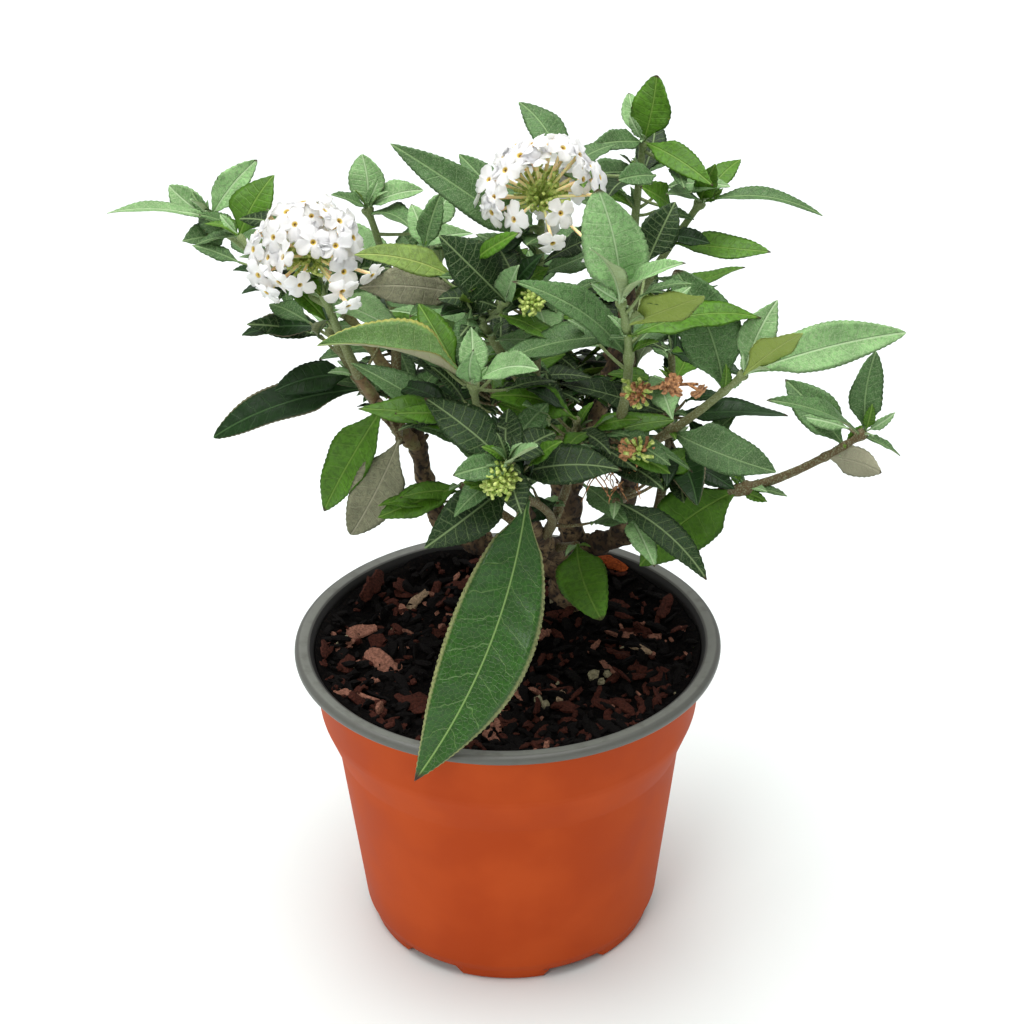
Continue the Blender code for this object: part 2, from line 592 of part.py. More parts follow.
def grow():
    """Work out every limb, twig, leaf and flower. Give the parts of each solid."""
    crown, limbs, solids = Crown(), {}, {}

    def sprout(name, parent, row, first, last, steps, sides):
        """Start a limb or stem a little further out until it is clear of all others."""
        for push in range(PUSHES):
            limb = grow_from(parent, *row, first, last, push * PUSH)
            if not crown.blocker(name, *tube(fatter(limb), steps, sides)):
                break
        return limb

    for name, (parent, where, end, bow, first, last) in LIMBS.items():
        if parent is None:
            limb = Limb((*TRUNK_FOOT, SOIL_TOP + CLEAR), end, bow, first, last)
            points, faces = tube(limb, 5, 10, flare=0.35)
        else:
            row = (where, end, bow)
            limb = sprout(name, limbs[parent], row, first, last, 5, 7)
            points, faces = tube(limb, 5, 7)
        limbs[name] = limb
        solids[name] = [(points, faces)]
        crown.add(name, points, faces)

    twigs, reach = {}, {}
    for name, rows in SHOOTS.items():
        twigs[name], solids[name] = [], []
        for parent, where, end, bow, _, _ in rows:
            if isinstance(parent, str):
                spot = (where, end, bow)
                twig = sprout(name, limbs[parent], spot, STEM_RADIUS, TWIG_RADIUS, 4, 3)
            else:
                main = twigs[name][parent]
                twig = Limb(main.at(where), end, bow, TWIG_RADIUS, TWIG_RADIUS * 0.8)
            twigs[name].append(twig)
            points, faces = tube(twig, 4, 3)
            solids[name].append((points, faces))
            crown.add(name, points, faces)

    rng = random.Random(SEED)
    for name, centre, axis, radius, count, span in HEADS:
        core = ball(centre, 4.2, 0.1, rng)
        solids[name].append(core)
        crown.add(name, *core)
        for way in head_directions(axis, count, span):
            root = Vector(centre) + way * 2.6
            length = radius - 2.6 + rng.uniform(-1.5, 1.0)
            points, faces, start = flower(root, way, length)
            fat = flower(root, way, length, CLEAR)
            if not crown.blocker(name, fat[0], fat[1]):
                solids[name].append((points, faces))
                crown.add(name, points, faces)
    for name, centre, radius in BUDS:
        lump = ball(centre, radius, 0.15, rng)
        solids[name].append(lump)
        crown.add(name, *lump)
    for name, foot, tip, seeds in SPIKES:
        stalk = Limb(foot, tip, (0, 0, 1), 0.8, 0.6)
        parts = [tube(stalk, 2, 3)]
        for number in range(seeds):
            where = 0.45 + 0.6 * number / seeds
            place = stalk.at(min(1.0, where)) + Vector([rng.uniform(-1.6, 1.6) for _ in range(3)])
            parts.append(ball(place, rng.uniform(1.8, 2.6), 0.2, rng))
        for points, faces in parts:
            solids[name].append((points, faces))
            crown.add(name, points, faces)

    def place(name, twig, row, sag):
        """Add a leaf, turned a little if need be, or leave it out if none is clear."""
        where, heading, rise, length, width, tilt = row
        base = twig.at(where)
        for turn, lift in TURNS:
            shape = (base, heading + turn, rise + lift, length, width, tilt, sag)
            fat = leaf(*shape, spare=CLEAR)
            if not crown.blocker(name, *fat):
                points, faces = leaf(*shape)
                solids[name].append((points, faces))
                crown.add(name, points, faces)
                return

    for name, rows in SHOOTS.items():
        for twig, row in zip(twigs[name], rows):
            for spec in row[4]:
                place(name, twig, spec, 0.0 if spec[3] > STIFF_LENGTH else LEAF_SAG)
    for name, rows in SHOOTS.items():
        rng = random.Random("%d %s" % (SEED, name))
        for twig, row in zip(twigs[name], rows):
            for spec in rule_leaves(row[5], RULE_TOP if row[4] else 1.0, rng):
                place(name, twig, spec, LEAF_SAG)
    return solids


def keep_one_shell(mesh):
    """Drop loose scraps and fill hollows that the union sealed. Tell whether it is closed."""
    work = bmesh.new()
    work.from_mesh(mesh)
    bmesh.ops.remove_doubles(work, verts=work.verts, dist=WELD * MM)
    bmesh.ops.dissolve_degenerate(work, edges=work.edges, dist=WELD * MM)
    left, shells = set(work.faces), []
    while left:
        seed = left.pop()
        shell, edge = {seed}, [seed]
        while edge:
            for loop in edge.pop().loops:
                for other in loop.edge.link_faces:
                    if other in left:
                        left.discard(other)
                        shell.add(other)
                        edge.append(other)
        shells.append(shell)
    def volume(shell):
        total = 0.0
        for face in shell:
            corners = [v.co for v in face.verts]
            for k in range(1, len(corners) - 1):
                total += corners[0].dot(corners[k].cross(corners[k + 1]))
        return total
    shells.sort(key=volume)
    for shell in shells[:-1]:
        bmesh.ops.delete(work, geom=list(shell), context="FACES_ONLY")
    loose = [v for v in work.verts if not v.link_faces]
    bmesh.ops.delete(work, geom=loose, context="VERTS")
    loose = [e for e in work.edges if not e.link_faces]
    bmesh.ops.delete(work, geom=loose, context="EDGES_FACES")
    closed = all(len(edge.link_faces) == 2 for edge in work.edges)
    work.to_mesh(mesh)
    work.free()
    return closed


def fuse(name, parts, look):
    """Join the closed parts of one mass by one union."""
    body = add_object(name, *parts[0], look)
    others = bpy.data.collections.new(name + " parts")
    bpy.context.scene.collection.children.link(others)
    for number, (points, faces) in enumerate(parts[1:]):
        part = add_object("%s part %d" % (name, number), points, faces, look)
        bpy.context.scene.collection.objects.unlink(part)
        others.objects.link(part)
    for solver in ("EXACT", "MANIFOLD"):
        union = body.modifiers.new("union", "BOOLEAN")
        union.operation = "UNION"
        union.operand_type = "COLLECTION"
        union.collection = others
        union.solver = solver
        bpy.context.view_layer.update()
        shape = body.evaluated_get(bpy.context.evaluated_depsgraph_get())
        joined = bpy.data.meshes.new_from_object(shape)
        body.modifiers.clear()
        closed = keep_one_shell(joined)
        if closed:
            break
    old = body.data
    body.data = joined
    bpy.data.meshes.remove(old)
    joined.name = name
    for part in list(others.objects):
        mesh = part.data
        bpy.data.objects.remove(part)
        bpy.data.meshes.remove(mesh)
    bpy.data.collections.remove(others)
    return body


def main():
    for old in list(bpy.data.objects):
        bpy.data.objects.remove(old, do_unlink=True)
    make_pot()
    make_soil()
    bark = material("grey-brown bark", BARK_COLOUR, 0.9)
    green = material("felted leaf", LEAF_COLOUR, 0.6)
    for name, parts in grow().items():
        if name in LIMBS:
            smooth(add_object(name, *parts[0], bark), 50)
        else:
            fuse(name, parts, green)


main()
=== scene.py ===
# %% [markdown]
# # A white butterfly bush in its nursery pot
# The object is a young shrub about 23 cm across, in a 13 cm moulded pot. The solids from
# the CAD give the reach of every limb and of every mass of foliage. Here the pot, the
# potting mix, the bark, the twigs, the leaves and the flowers are modelled in fine detail
# inside that reach, each with its own finish.

# %% Load the solids
import functools
import math
import random

import bpy
import numpy as np
from mathutils import Matrix, Vector, noise
from mathutils.bvhtree import BVHTree


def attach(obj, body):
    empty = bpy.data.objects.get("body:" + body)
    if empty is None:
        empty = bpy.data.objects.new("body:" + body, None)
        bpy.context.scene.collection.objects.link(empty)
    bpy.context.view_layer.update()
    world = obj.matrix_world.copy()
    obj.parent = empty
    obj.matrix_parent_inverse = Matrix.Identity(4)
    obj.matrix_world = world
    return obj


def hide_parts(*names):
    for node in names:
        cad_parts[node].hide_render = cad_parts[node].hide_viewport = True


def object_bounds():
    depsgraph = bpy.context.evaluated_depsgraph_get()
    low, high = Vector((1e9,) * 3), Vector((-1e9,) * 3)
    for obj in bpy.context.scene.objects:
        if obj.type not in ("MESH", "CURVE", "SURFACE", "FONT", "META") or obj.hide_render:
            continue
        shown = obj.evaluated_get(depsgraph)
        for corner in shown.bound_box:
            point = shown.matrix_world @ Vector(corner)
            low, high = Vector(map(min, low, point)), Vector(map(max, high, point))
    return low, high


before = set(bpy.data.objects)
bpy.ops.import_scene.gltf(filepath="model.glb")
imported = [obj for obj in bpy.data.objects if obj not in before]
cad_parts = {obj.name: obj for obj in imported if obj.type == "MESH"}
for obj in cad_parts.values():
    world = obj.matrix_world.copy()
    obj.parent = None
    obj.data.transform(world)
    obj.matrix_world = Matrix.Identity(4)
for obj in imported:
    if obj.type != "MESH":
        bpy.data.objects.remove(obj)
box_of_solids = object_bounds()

MM = 0.001             # the lengths below are in millimetres, the meshes in metres
print("solids:", len(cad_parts), "box in mm:",
      [[round(c * 1000, 1) for c in corner] for corner in box_of_solids])

# %% [markdown]
# ## Growth of the shrub
# The shrub is described as a gardener would: limbs that fork from a short trunk, twigs
# that end each limb, and leaves in opposite pairs. The same numbers and the same seeded
# rule placed the solids, so a leaf worked out here lies where its solid lies.

# %% Limbs, twigs and leaves by name
SEED = 26
SOIL_TOP = 89.0
TRUNK_FOOT = (22, 35)
LIMBS = {
    "trunk": (None, 0.0, (21, 31, 113), (-1.5, 0, 0), 6.6, 5.0),
    "left_foot_bough": ("trunk", 0.50, (-20, 36, 116), (0, 0, -2), 3.3, 2.9),
    "left_bough": ("left_foot_bough", 1.0, (-27, 31, 156), (-2, 1, 0), 2.8, 2.2),
    "left_front_bough": ("left_bough", 0.74, (-42, 8, 182), (0, 0, -2), 2.1, 1.6),
    "left_rear_bough": ("left_bough", 1.0, (-47, 38, 188), (2, 2, -3), 2.1, 1.6),
    "front_bough": ("trunk", 0.70, (5, -26, 155), (0, 0, -3), 3.0, 2.1),
    "centre_bough": ("trunk", 1.0, (9, 4, 178), (0, 6, 0), 3.4, 2.2),
    "right_bough": ("trunk", 0.88, (65, 0, 146), (0, 0, -3), 3.1, 2.3),
    "tall_bough": ("right_bough", 0.30, (31, -26, 178), (4, 4, 0), 2.4, 1.9),
    "right_rear_bough": ("centre_bough", 0.22, (38, 40, 196), (3, 4, 0), 2.5, 1.8),
}
# A twig is (parent, where on it, end, bow, leaves, pairs by rule, looks of the leaves).
# A leaf is (where, heading, rise, length, width, tilt of its face to the viewer).
SHOOTS = {
    "left_tip_foliage": [
        ("left_rear_bough", 1.0, (-85, 34, 221), (0, 2, -3), [
            (1.0, 189, 9, 30, 7, 0.2), (1.0, 25, 45, 22, 9, 0.8),
            (1.0, 146, 26, 17, 8, 0.8), (0.88, 213, 4, 15, 10, 0.8),
            (1.0, 245, 42, 14, 5, 0.4), (0.62, 120, 10, 22, 10, 0.4),
            (0.55, 285, -8, 20, 9, 0.5)], 0, "yyymymm")],
    "left_flower_foliage": [
        ("left_front_bough", 1.0, (-53, -3.5, 223), (0, -1.5, -0.7), [
            (0.86, 200, -2, 22, 9, 0.4), (0.72, 20, 6, 24, 10, 0.5)], 1, "dm"),
        (0, 0.66, (-75, 18, 222), (0, 0, -2), [
            (1.0, 30, 55, 20, 13, 1.2), (1.0, 171, -12, 14, 5, 0.0)], 0, "gm")],
    "upper_left_foliage": [
        ("left_rear_bough", 0.40, (-40, 46, 219), (3, 1, 0), [
            (1.0, 100, 65, 16, 11, 1.4), (1.0, 218, 35, 14, 7, 0.4),
            (1.0, 50, 12, 19, 7, 0.0), (1.0, -14, 22, 19, 8, 0.4),
            (0.97, -54, 8, 22, 10, 0.3)], 2, "ymyym")],
    "top_flower_foliage": [
        ("centre_bough", 1.0, (11, -9, 236), (0, 5, 0), [
            (0.84, 177, 38, 50, 12, 0.7), (0.76, 126, 28, 43, 12, 0.3),
            (0.66, 20, 15, 24, 10, 0.4)], 2, "mmm"),
        (0, 0.80, (18, 15, 241), (0, 0, -1), [
            (1.0, 125, 36, 27, 10, 0.8), (1.0, 40, 10, 20, 9, 0.4)], 0, "mm")],
    "centre_foliage": [
        ("centre_bough", 0.86, (-12, -16, 222), (-2, 4, 0), [
            (1.0, 188, 24, 29, 10, 0.5), (0.86, 188, 12, 30, 14, 0.6)], 2, "up"),
        (0, 0.7, (1, -24, 219), (0, 0, -2), [
            (1.0, 187, 49, 27, 16, 1.0), (0.8, 190, 14, 18, 9, 0.8),
            (1.0, -67, 60, 15, 8, 0.8), (1.0, 20, 40, 15, 8, 0.6)], 0, "vvyg"),
        (0, 0.62, (-22, 12, 219), (0, 0, -2), [
            (1.0, 39, 68, 17, 7, 0.5), (1.0, 110, 44, 15, 7, 0.5)], 0, "my")],
    "rear_right_foliage": [
        ("right_rear_bough", 1.0, (42, 47, 238), (0, 2, 0), [
            (1.0, 31, 77, 20, 12, 1.6), (1.0, 107, 40, 17, 8, 0.4),
            (1.0, 215, 12, 19, 8, 0.5), (1.0, -45, -14, 28, 9, 0.9),
            (0.80, 196, 4, 20, 9, 0.6), (0.74, 60, 10, 22, 10, 0.4)], 2, "gymgmm")],
    "right_tip_foliage": [
        ("right_rear_bough", 0.80, (59, 42, 221), (-2, 2, -3), [
            (1.0, 3, -3, 37, 7, 0.1), (1.0, 48, 26, 21, 8, 0.2),
            (1.0, -71, 62, 15, 7, 0.8), (1.0, 228, 30, 17, 8, 0.5),
            (0.45, -30, -8, 22, 6, 0.1)], 1, "mggmm")],
    "tall_foliage": [
        ("tall_bough", 1.0, (31, -46, 228), (3, 3, 0), [
            (1.0, 132, 74, 30, 17, 1.6), (1.0, 245, 52, 30, 8, 0.3),
            (1.0, -46, 45, 27, 9, 0.3), (0.82, -46, 33, 33, 12, -1.0),
            (0.56, 206, 44, 43, 12, 0.8), (0.60, 43, 16, 25, 10, 0.5)], 1, "yyyumm")],
    "right_foliage": [
        ("tall_bough", 0.78, (65, -36, 202), (0, 0, -2), [
            (1.0, 3, 15, 45, 13, 0.8), (1.0, 42, 56, 22, 10, 0.8),
            (1.0, -46, 44, 27, 10, -0.8), (0.40, -24, -12, 32, 15, 0.6),
            (0.84, 152, 66, 36, 17, 1.3)], 0, "yyumm")],
    "right_arm_foliage": [
        ("right_bough", 1.0, (104, -7, 169), (0, 0, -3), [
            (1.0, 64, 79, 24, 10, 1.8), (0.97, 203, 35, 36, 9, 0.1),
            (0.85, 142, 38, 26, 12, 0.9), (0.72, -36, 2, 19, 9, -1.2),
            (0.97, -10, -22, 13, 5, 0.2), (0.10, 202, -30, 37, 19, 1.2),
            (0.16, -31, 2, 13, 4, 0.2), (0.16, 140, 32, 22, 9, 0.4)], 0, "mmmpmgmm")],
    "left_front_foliage": [
        ("front_bough", 0.90, (-8, -44, 204), (-3, 2, 0), [
            (1.0, 186, 23, 43, 14, 0.0), (0.95, 147, 20, 28, 11, 0.4),
            (1.0, -86, 61, 16, 7, 1.0), (1.0, -47, 28, 28, 10, 0.5),
            (1.0, 92, 50, 16, 8, 0.8), (0.55, 166, 32, 44, 13, 0.5)], 1, "tvyyym")],
    "rosette_foliage": [
        ("front_bough", 1.0, (1, -58, 187), (0, 2, -2), [
            (1.0, 151, 30, 29, 13, 0.8), (1.0, 205, 2, 16, 8, 0.6),
            (0.85, 203, -27, 19, 8, 0.6), (0.70, 210, -22, 30, 14, 0.9),
            (1.0, -53, 39, 17, 7, 0.6), (1.0, 89, 24, 19, 10, 0.4),
            (1.0, 37, 17, 17, 10, 0.4), (0.95, -74, -33, 14, 9, 0.6),
            (0.80, -4, 4, 30, 13, 0.8)], 0, "vmmvyvvvv")],
    "hanging_leaf": [
        ("front_bough", 0.66, (6, -46, 170), (5, 0, 0), [
            (1.0, 212, -64, 88, 25, 1.2)], 0, "h")],
    "left_low_foliage": [
        ("left_front_bough", 0.52, (-51, 18, 193), (-1, 1, -2), [
            (0.36, 185, -12, 48, 13, 0.6),
            (1.0, 175, -8, 26, 10, 0.6), (0.52, 190, -4, 24, 10, 0.7),
            (1.0, 95, 20, 22, 10, 0.5)], 0, "oodo")],
    "left_twisted_leaf": [
        ("left_front_bough", 0.36, (-31, 6, 162), (0, 0, 0), [
            (1.0, 207, -58, 33, 15, 1.5)], 0, "p")],
    "low_left_leaf": [
        ("front_bough", 0.45, (-13, -4, 152), (0, 0, 0), [
            (1.0, 196, -11, 26, 11, 0.4)], 0, "g")],
    "low_centre_leaf": [
        ("front_bough", 0.42, (21, -7, 133), (0, 0, 0), [
            (1.0, -76, -20, 27, 15, 0.9)], 0, "g")],
    "low_right_leaf": [
        ("tall_bough", 0.48, (31, -32, 161), (0, 0, -2), [
            (1.0, -36, -27, 34, 9, 0.9)], 0, "v")],
    "inner_front_foliage": [
        ("front_bough", 0.60, (20, -30, 186), (3, 2, 0), [
            (1.0, 205, 30, 28, 10, 0.7),
            (0.9, -14, -4, 34, 6, 0.2), (0.9, -60, 6, 17, 7, 0.5)], 2, "gmv")],
    "inner_left_foliage": [
        ("centre_bough", 0.55, (-15, 18, 190), (0, 0, -3), [], 4, "")],
    "inner_right_foliage": [
        ("right_bough", 0.55, (49, 12, 186), (2, 0, 0), [], 4, "")],
    "back_left_foliage": [
        ("left_bough", 0.55, (-34, 62, 186), (0, 2, -4), [], 5, "")],
    "back_foliage": [
        ("centre_bough", 0.40, (4, 68, 190), (0, 0, -5), [], 5, "")],
    "back_right_foliage": [
        ("right_rear_bough", 0.40, (50, 60, 184), (0, 0, -4), [], 4, "")],
    "back_low_foliage": [
        ("centre_bough", 0.14, (28, 66, 156), (0, 0, -4), [], 3, "")],
}
print("limbs:", len(LIMBS), "masses:", len(SHOOTS),
      "listed leaves:", sum(len(row[4]) for rows in SHOOTS.values() for row in rows))

# %% Arcs and the leaf rule
STEM_RADIUS = 1.5
TWIG_RADIUS = 1.0
RULE_TOP = 0.72
TURNS = ((0, 0), (0, 5), (0, -5), (6, 0), (-6, 0), (6, 6), (-6, 6), (6, -6), (-6, -6),
         (0, 10), (0, -10), (12, 0), (-12, 0), (12, 8), (-12, 8))


class Limb:
    """A tapering limb along an arc that stands off its straight line by the bow."""

    def __init__(self, root, end, bow, first, last):
        self.root, self.end, self.bow = Vector(root), Vector(end), Vector(bow)
        self.first, self.last = first, last

    def at(self, t):
        return self.root.lerp(self.end, t) + self.bow * 4 * t * (1 - t)

    def radius(self, t):
        return self.first + (self.last - self.first) * t

    def heading(self, t):
        return (self.at(min(1, t + 0.01)) - self.at(max(0, t - 0.01))).normalized()


def way_at(turn, rise):
    """The direction at this turn from X and this rise above level, in radians."""
    return Vector((math.cos(turn) * math.cos(rise), math.sin(turn) * math.cos(rise),
                   math.sin(rise)))


def leaf_axes(heading, rise, tilt):
    """A leaf's own length, width and face directions, from angles in degrees."""
    along = way_at(math.radians(heading), math.radians(rise))
    face = Vector((0.0, 1.0, 1.0 + tilt)) if tilt <= -0.5 else Vector((0.0, -tilt, 1.0))
    face = (face - along * face.dot(along)).normalized()
    return along, face.cross(along), face


def rule_leaves(pairs, top, rng):
    """Opposite pairs up a twig, each at right angles to the last, smaller to the tip."""
    heading = rng.uniform(0, 360)
    for number in range(pairs):
        where = 0.30 + (top - 0.30) * (number + 1) / pairs
        length = rng.uniform(26, 33) * (1.15 - 0.35 * number / max(1, pairs))
        for half in range(2):
            turn = heading + 180 * half + rng.uniform(-14, 14)
            rise = rng.uniform(-8, 22) + 14 * number / max(1, pairs)
            yield where, turn, rise, length, length * rng.uniform(0.32, 0.38), 0.25
        heading += 90 + rng.uniform(-12, 12)


limbs, twigs = {}, {}
for name, (parent, where, end, bow, first, last) in LIMBS.items():
    root = (*TRUNK_FOOT, SOIL_TOP - 2) if parent is None else limbs[parent].at(where)
    limbs[name] = Limb(root, end, bow, first, last)
for name, rows in SHOOTS.items():
    twigs[name] = []
    for row in rows:
        parent, where, end, bow = row[:4]
        if isinstance(parent, str):
            twig = Limb(limbs[parent].at(where), end, bow, STEM_RADIUS, TWIG_RADIUS)
        else:
            twig = Limb(twigs[name][parent].at(where), end, bow, TWIG_RADIUS, TWIG_RADIUS * 0.8)
        twigs[name].append(twig)
print("twigs:", sum(len(t) for t in twigs.values()))

# %% [markdown]
# ## Gathering small parts into one mesh
# Hundreds of leaves, flowers and chips are each a small closed body. They are written as
# arrays and joined by kind, which is far quicker than one object for each.

# %% A store of parts
PLANT_BODY = "root"


class Store:
    """Small closed bodies that become one mesh, with a map and values for the finish."""

    def __init__(self):
        self.points, self.quads, self.tris = [], [], []
        self.maps, self.values, self.looks, self.count = [], [], [], 0

    def add(self, points, quads, tris, uv=None, value=(0.0, 0.0), look=0):
        """Add a body. The value is (underside share of each face, one tone)."""
        points = np.asarray(points, float)
        self.points.append(points)
        self.quads.append(np.asarray(quads, int).reshape(-1, 4) + self.count)
        self.tris.append(np.asarray(tris, int).reshape(-1, 3) + self.count)
        self.maps.append(np.zeros((len(points), 4)) if uv is None else uv)
        under, tone = value
        quad_under = np.broadcast_to(under, (len(self.quads[-1]),)).astype(float)
        self.values.append((quad_under, np.zeros(len(self.tris[-1])), tone))
        self.looks.append(look)
        self.count += len(points)

    def build(self, name, materials, replaced, slot, smooth=True):
        points = np.concatenate(self.points) * MM
        quads, tris = np.concatenate(self.quads), np.concatenate(self.tris)
        mesh = bpy.data.meshes.new(name)
        mesh.vertices.add(len(points))
        mesh.vertices.foreach_set("co", points.ravel())
        corners = np.concatenate([quads.ravel(), tris.ravel()])
        mesh.loops.add(len(corners))
        mesh.loops.foreach_set("vertex_index", corners)
        starts = np.concatenate([np.arange(len(quads)) * 4,
                                 len(quads) * 4 + np.arange(len(tris)) * 3])
        mesh.polygons.add(len(starts))
        mesh.polygons.foreach_set("loop_start", starts)
        mesh.polygons.foreach_set("use_smooth", np.full(len(starts), smooth))
        for look in materials:
            mesh.materials.append(look)
        quad_looks = [np.full(len(q), k) for q, k in zip(self.quads, self.looks)]
        tri_looks = [np.full(len(q), k) for q, k in zip(self.tris, self.looks)]
        mesh.polygons.foreach_set("material_index", np.concatenate(quad_looks + tri_looks))
        maps = np.concatenate(self.maps)[corners]
        for number, title in enumerate(("blade", "size")):
            layer = mesh.uv_layers.new(name=title)
            layer.data.foreach_set("uv", maps[:, 2 * number:2 * number + 2].ravel())
        under = [v[0] for v in self.values] + [v[1] for v in self.values]
        tone = [np.full(len(q), v[2]) for q, v in zip(self.quads, self.values)]
        tone += [np.full(len(q), v[2]) for q, v in zip(self.tris, self.values)]
        for title, data in (("under", under), ("tone", tone)):
            held = mesh.attributes.new(title, "FLOAT", "FACE")
            held.data.foreach_set("value", np.concatenate(data))
        mesh.update()
        mesh.validate()
        made = bpy.data.objects.new(name, mesh)
        bpy.context.scene.collection.objects.link(made)
        finish_piece(made, replaced)
        print(name, "triangles:", 2 * len(quads) + len(tris))
        return made


def finish_piece(made, replaced):
    """Say which body a piece rides on, and hide the solids it replaces."""
    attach(made, PLANT_BODY)
    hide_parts(*replaced)


def rings_to_faces(rings, around):
    """Faces of a tube of rings, closed by two points that follow the last ring."""
    quads, tris = [], []
    for r in range(rings - 1):
        for k in range(around):
            n = (k + 1) % around
            quads.append((r * around + n, r * around + k,
                          (r + 1) * around + k, (r + 1) * around + n))
    last, foot, tip = (rings - 1) * around, rings * around, rings * around + 1
    for k in range(around):
        n = (k + 1) % around
        tris.append((k, n, foot))
        tris.append((last + n, last + k, tip))
    return np.array(quads), np.array(tris)


# %% [markdown]
# ## Colours and the parts of a finish
# Every finish is worked out from noise, a part's own map or its place, in true sizes. A
# helper turns a screen colour into light values, and one more adds a shader node with its
# settings and links.

# %% Colour and node helpers
def light(code):
    """A screen colour such as 'aabbcc' as linear light."""
    parts = [int(code[k:k + 2], 16) / 255 for k in (0, 2, 4)]
    return tuple(c / 12.92 if c <= 0.04045 else ((c + 0.055) / 1.055) ** 2.4
                 for c in parts) + (1.0,)


PER_MM = 1 / MM        # a noise with lumps of s millimetres has the scale PER_MM / s
USUAL = {"Mix": {"data_type": "RGBA"}, "MapRange": {"interpolation_type": "SMOOTHSTEP"}}


def plug(node, inputs):
    """Give a node's inputs, by number or name, a value or a link from a socket."""
    for key, value in inputs.items():
        if isinstance(value, bpy.types.NodeSocket):
            node.id_data.links.new(value, node.inputs[key])
        else:
            node.inputs[key].default_value = value


def add(tree, kind, *values, out=None, **named):
    """Add a shader node, and give back one of its outputs.

    "Math ADD" is a Math node set to ADD. The values fill the inputs that are in use, in
    their order. A name that starts with a capital is an input, any other is a setting.
    """
    kind, _, operation = kind.partition(" ")
    node = tree.nodes.new("ShaderNode" + kind)
    settings = dict(USUAL.get(kind, {}), **({"operation": operation} if operation else {}))
    settings.update((key, value) for key, value in named.items() if key[0].islower())
    for key, value in settings.items():
        setattr(node, key, value)
    in_use = [number for number, socket in enumerate(node.inputs) if socket.enabled]
    plug(node, dict(zip(in_use, values)))
    plug(node, {key: value for key, value in named.items() if key[0].isupper()})
    return node.outputs[out] if out else next(o for o in node.outputs if o.enabled)


def new_material(name, colour, roughness):
    """A material of one colour, a function that adds to its nodes, and its shader."""
    made = bpy.data.materials.new(name)
    made.use_nodes = True
    shader = made.node_tree.nodes["Principled BSDF"]
    plug(shader, {"Base Color": light(colour), "Roughness": roughness})
    made.diffuse_color = light(colour)
    return made, functools.partial(add, made.node_tree), shader


# %% [markdown]
# ## The pot
# A real nursery pot is injection moulded from polypropylene: one thin wall with a rolled
# rim, a straight band under it, a shoulder where pots stack, and feet between the drain
# recesses. A ring of edges is extruded up and down its section, as a potter would throw
# it, because every level is round. The recesses are pressed into the foot afterwards.

# %% Round pieces from a section
POT_HEIGHT = 97.5
RIM_RADIUS = 65.0
RIM_THICK = 3.2
MOUTH_RADIUS = 60.2
WALL = 1.1
FOOT_RADIUS = 44.3
BAND_RADIUS = 57.5
BAND_Z = 75.5
SHOULDER_RADIUS = 53.6
SHOULDER_Z = 63.5
HEEL_RADIUS = 46.6
HEEL_Z = 6.5
FLOOR = 1.4
DRAINS, DRAIN_HALF_ANGLE, DRAIN_HEIGHT, DRAIN_SLOPE = 6, 13.5, 4.0, 5.0
DRAIN_INNER, DRAIN_FIRST = 33.0, -64.0
ROUND_STEPS = 144


def rounded(section, reach, steps=4):
    """Turn each corner of a section into a small arc that begins this far from it."""
    out = [section[0]]
    for before, corner, after in zip(section, section[1:], section[2:]):
        ends = []
        for other in (before, after):
            far = math.dist(corner, other)
            share = min(reach, far * 0.45) / far
            ends.append([c + (o - c) * share for c, o in zip(corner, other)])
        for step in range(steps + 1):
            t = step / steps
            out.append(tuple((1 - t) ** 2 * a + 2 * t * (1 - t) * c + t * t * b
                             for a, c, b in zip(ends[0], corner, ends[1])))
    return out + [section[-1]]


def turned(name, section):
    """Extrude a circle along a section of (radius, height), and close both ends."""
    bpy.ops.object.select_all(action="DESELECT")
    radius, height = section[0]
    bpy.ops.mesh.primitive_circle_add(vertices=ROUND_STEPS, radius=radius * MM,
                                      location=(0, 0, height * MM))
    made = bpy.context.object
    made.name = name
    bpy.ops.object.transform_apply(location=True, rotation=True, scale=True)
    bpy.ops.object.mode_set(mode="EDIT")
    bpy.ops.mesh.select_all(action="SELECT")
    bpy.ops.mesh.extrude_edges_move()
    bpy.ops.mesh.merge(type="CENTER")
    bpy.ops.mesh.select_all(action="DESELECT")
    bpy.ops.mesh.select_non_manifold(extend=False)
    for (r0, z0), (r1, z1) in zip(section, section[1:]):
        bpy.ops.mesh.extrude_region_move(
            TRANSFORM_OT_translate={"value": (0, 0, (z1 - z0) * MM)})
        bpy.ops.transform.resize(value=(r1 / r0, r1 / r0, 1), center_override=(0, 0, 0))
    bpy.ops.mesh.extrude_edges_move()
    bpy.ops.mesh.merge(type="CENTER")
    bpy.ops.mesh.select_all(action="SELECT")
    bpy.ops.mesh.normals_make_consistent(inside=False)
    bpy.ops.object.mode_set(mode="OBJECT")
    return made


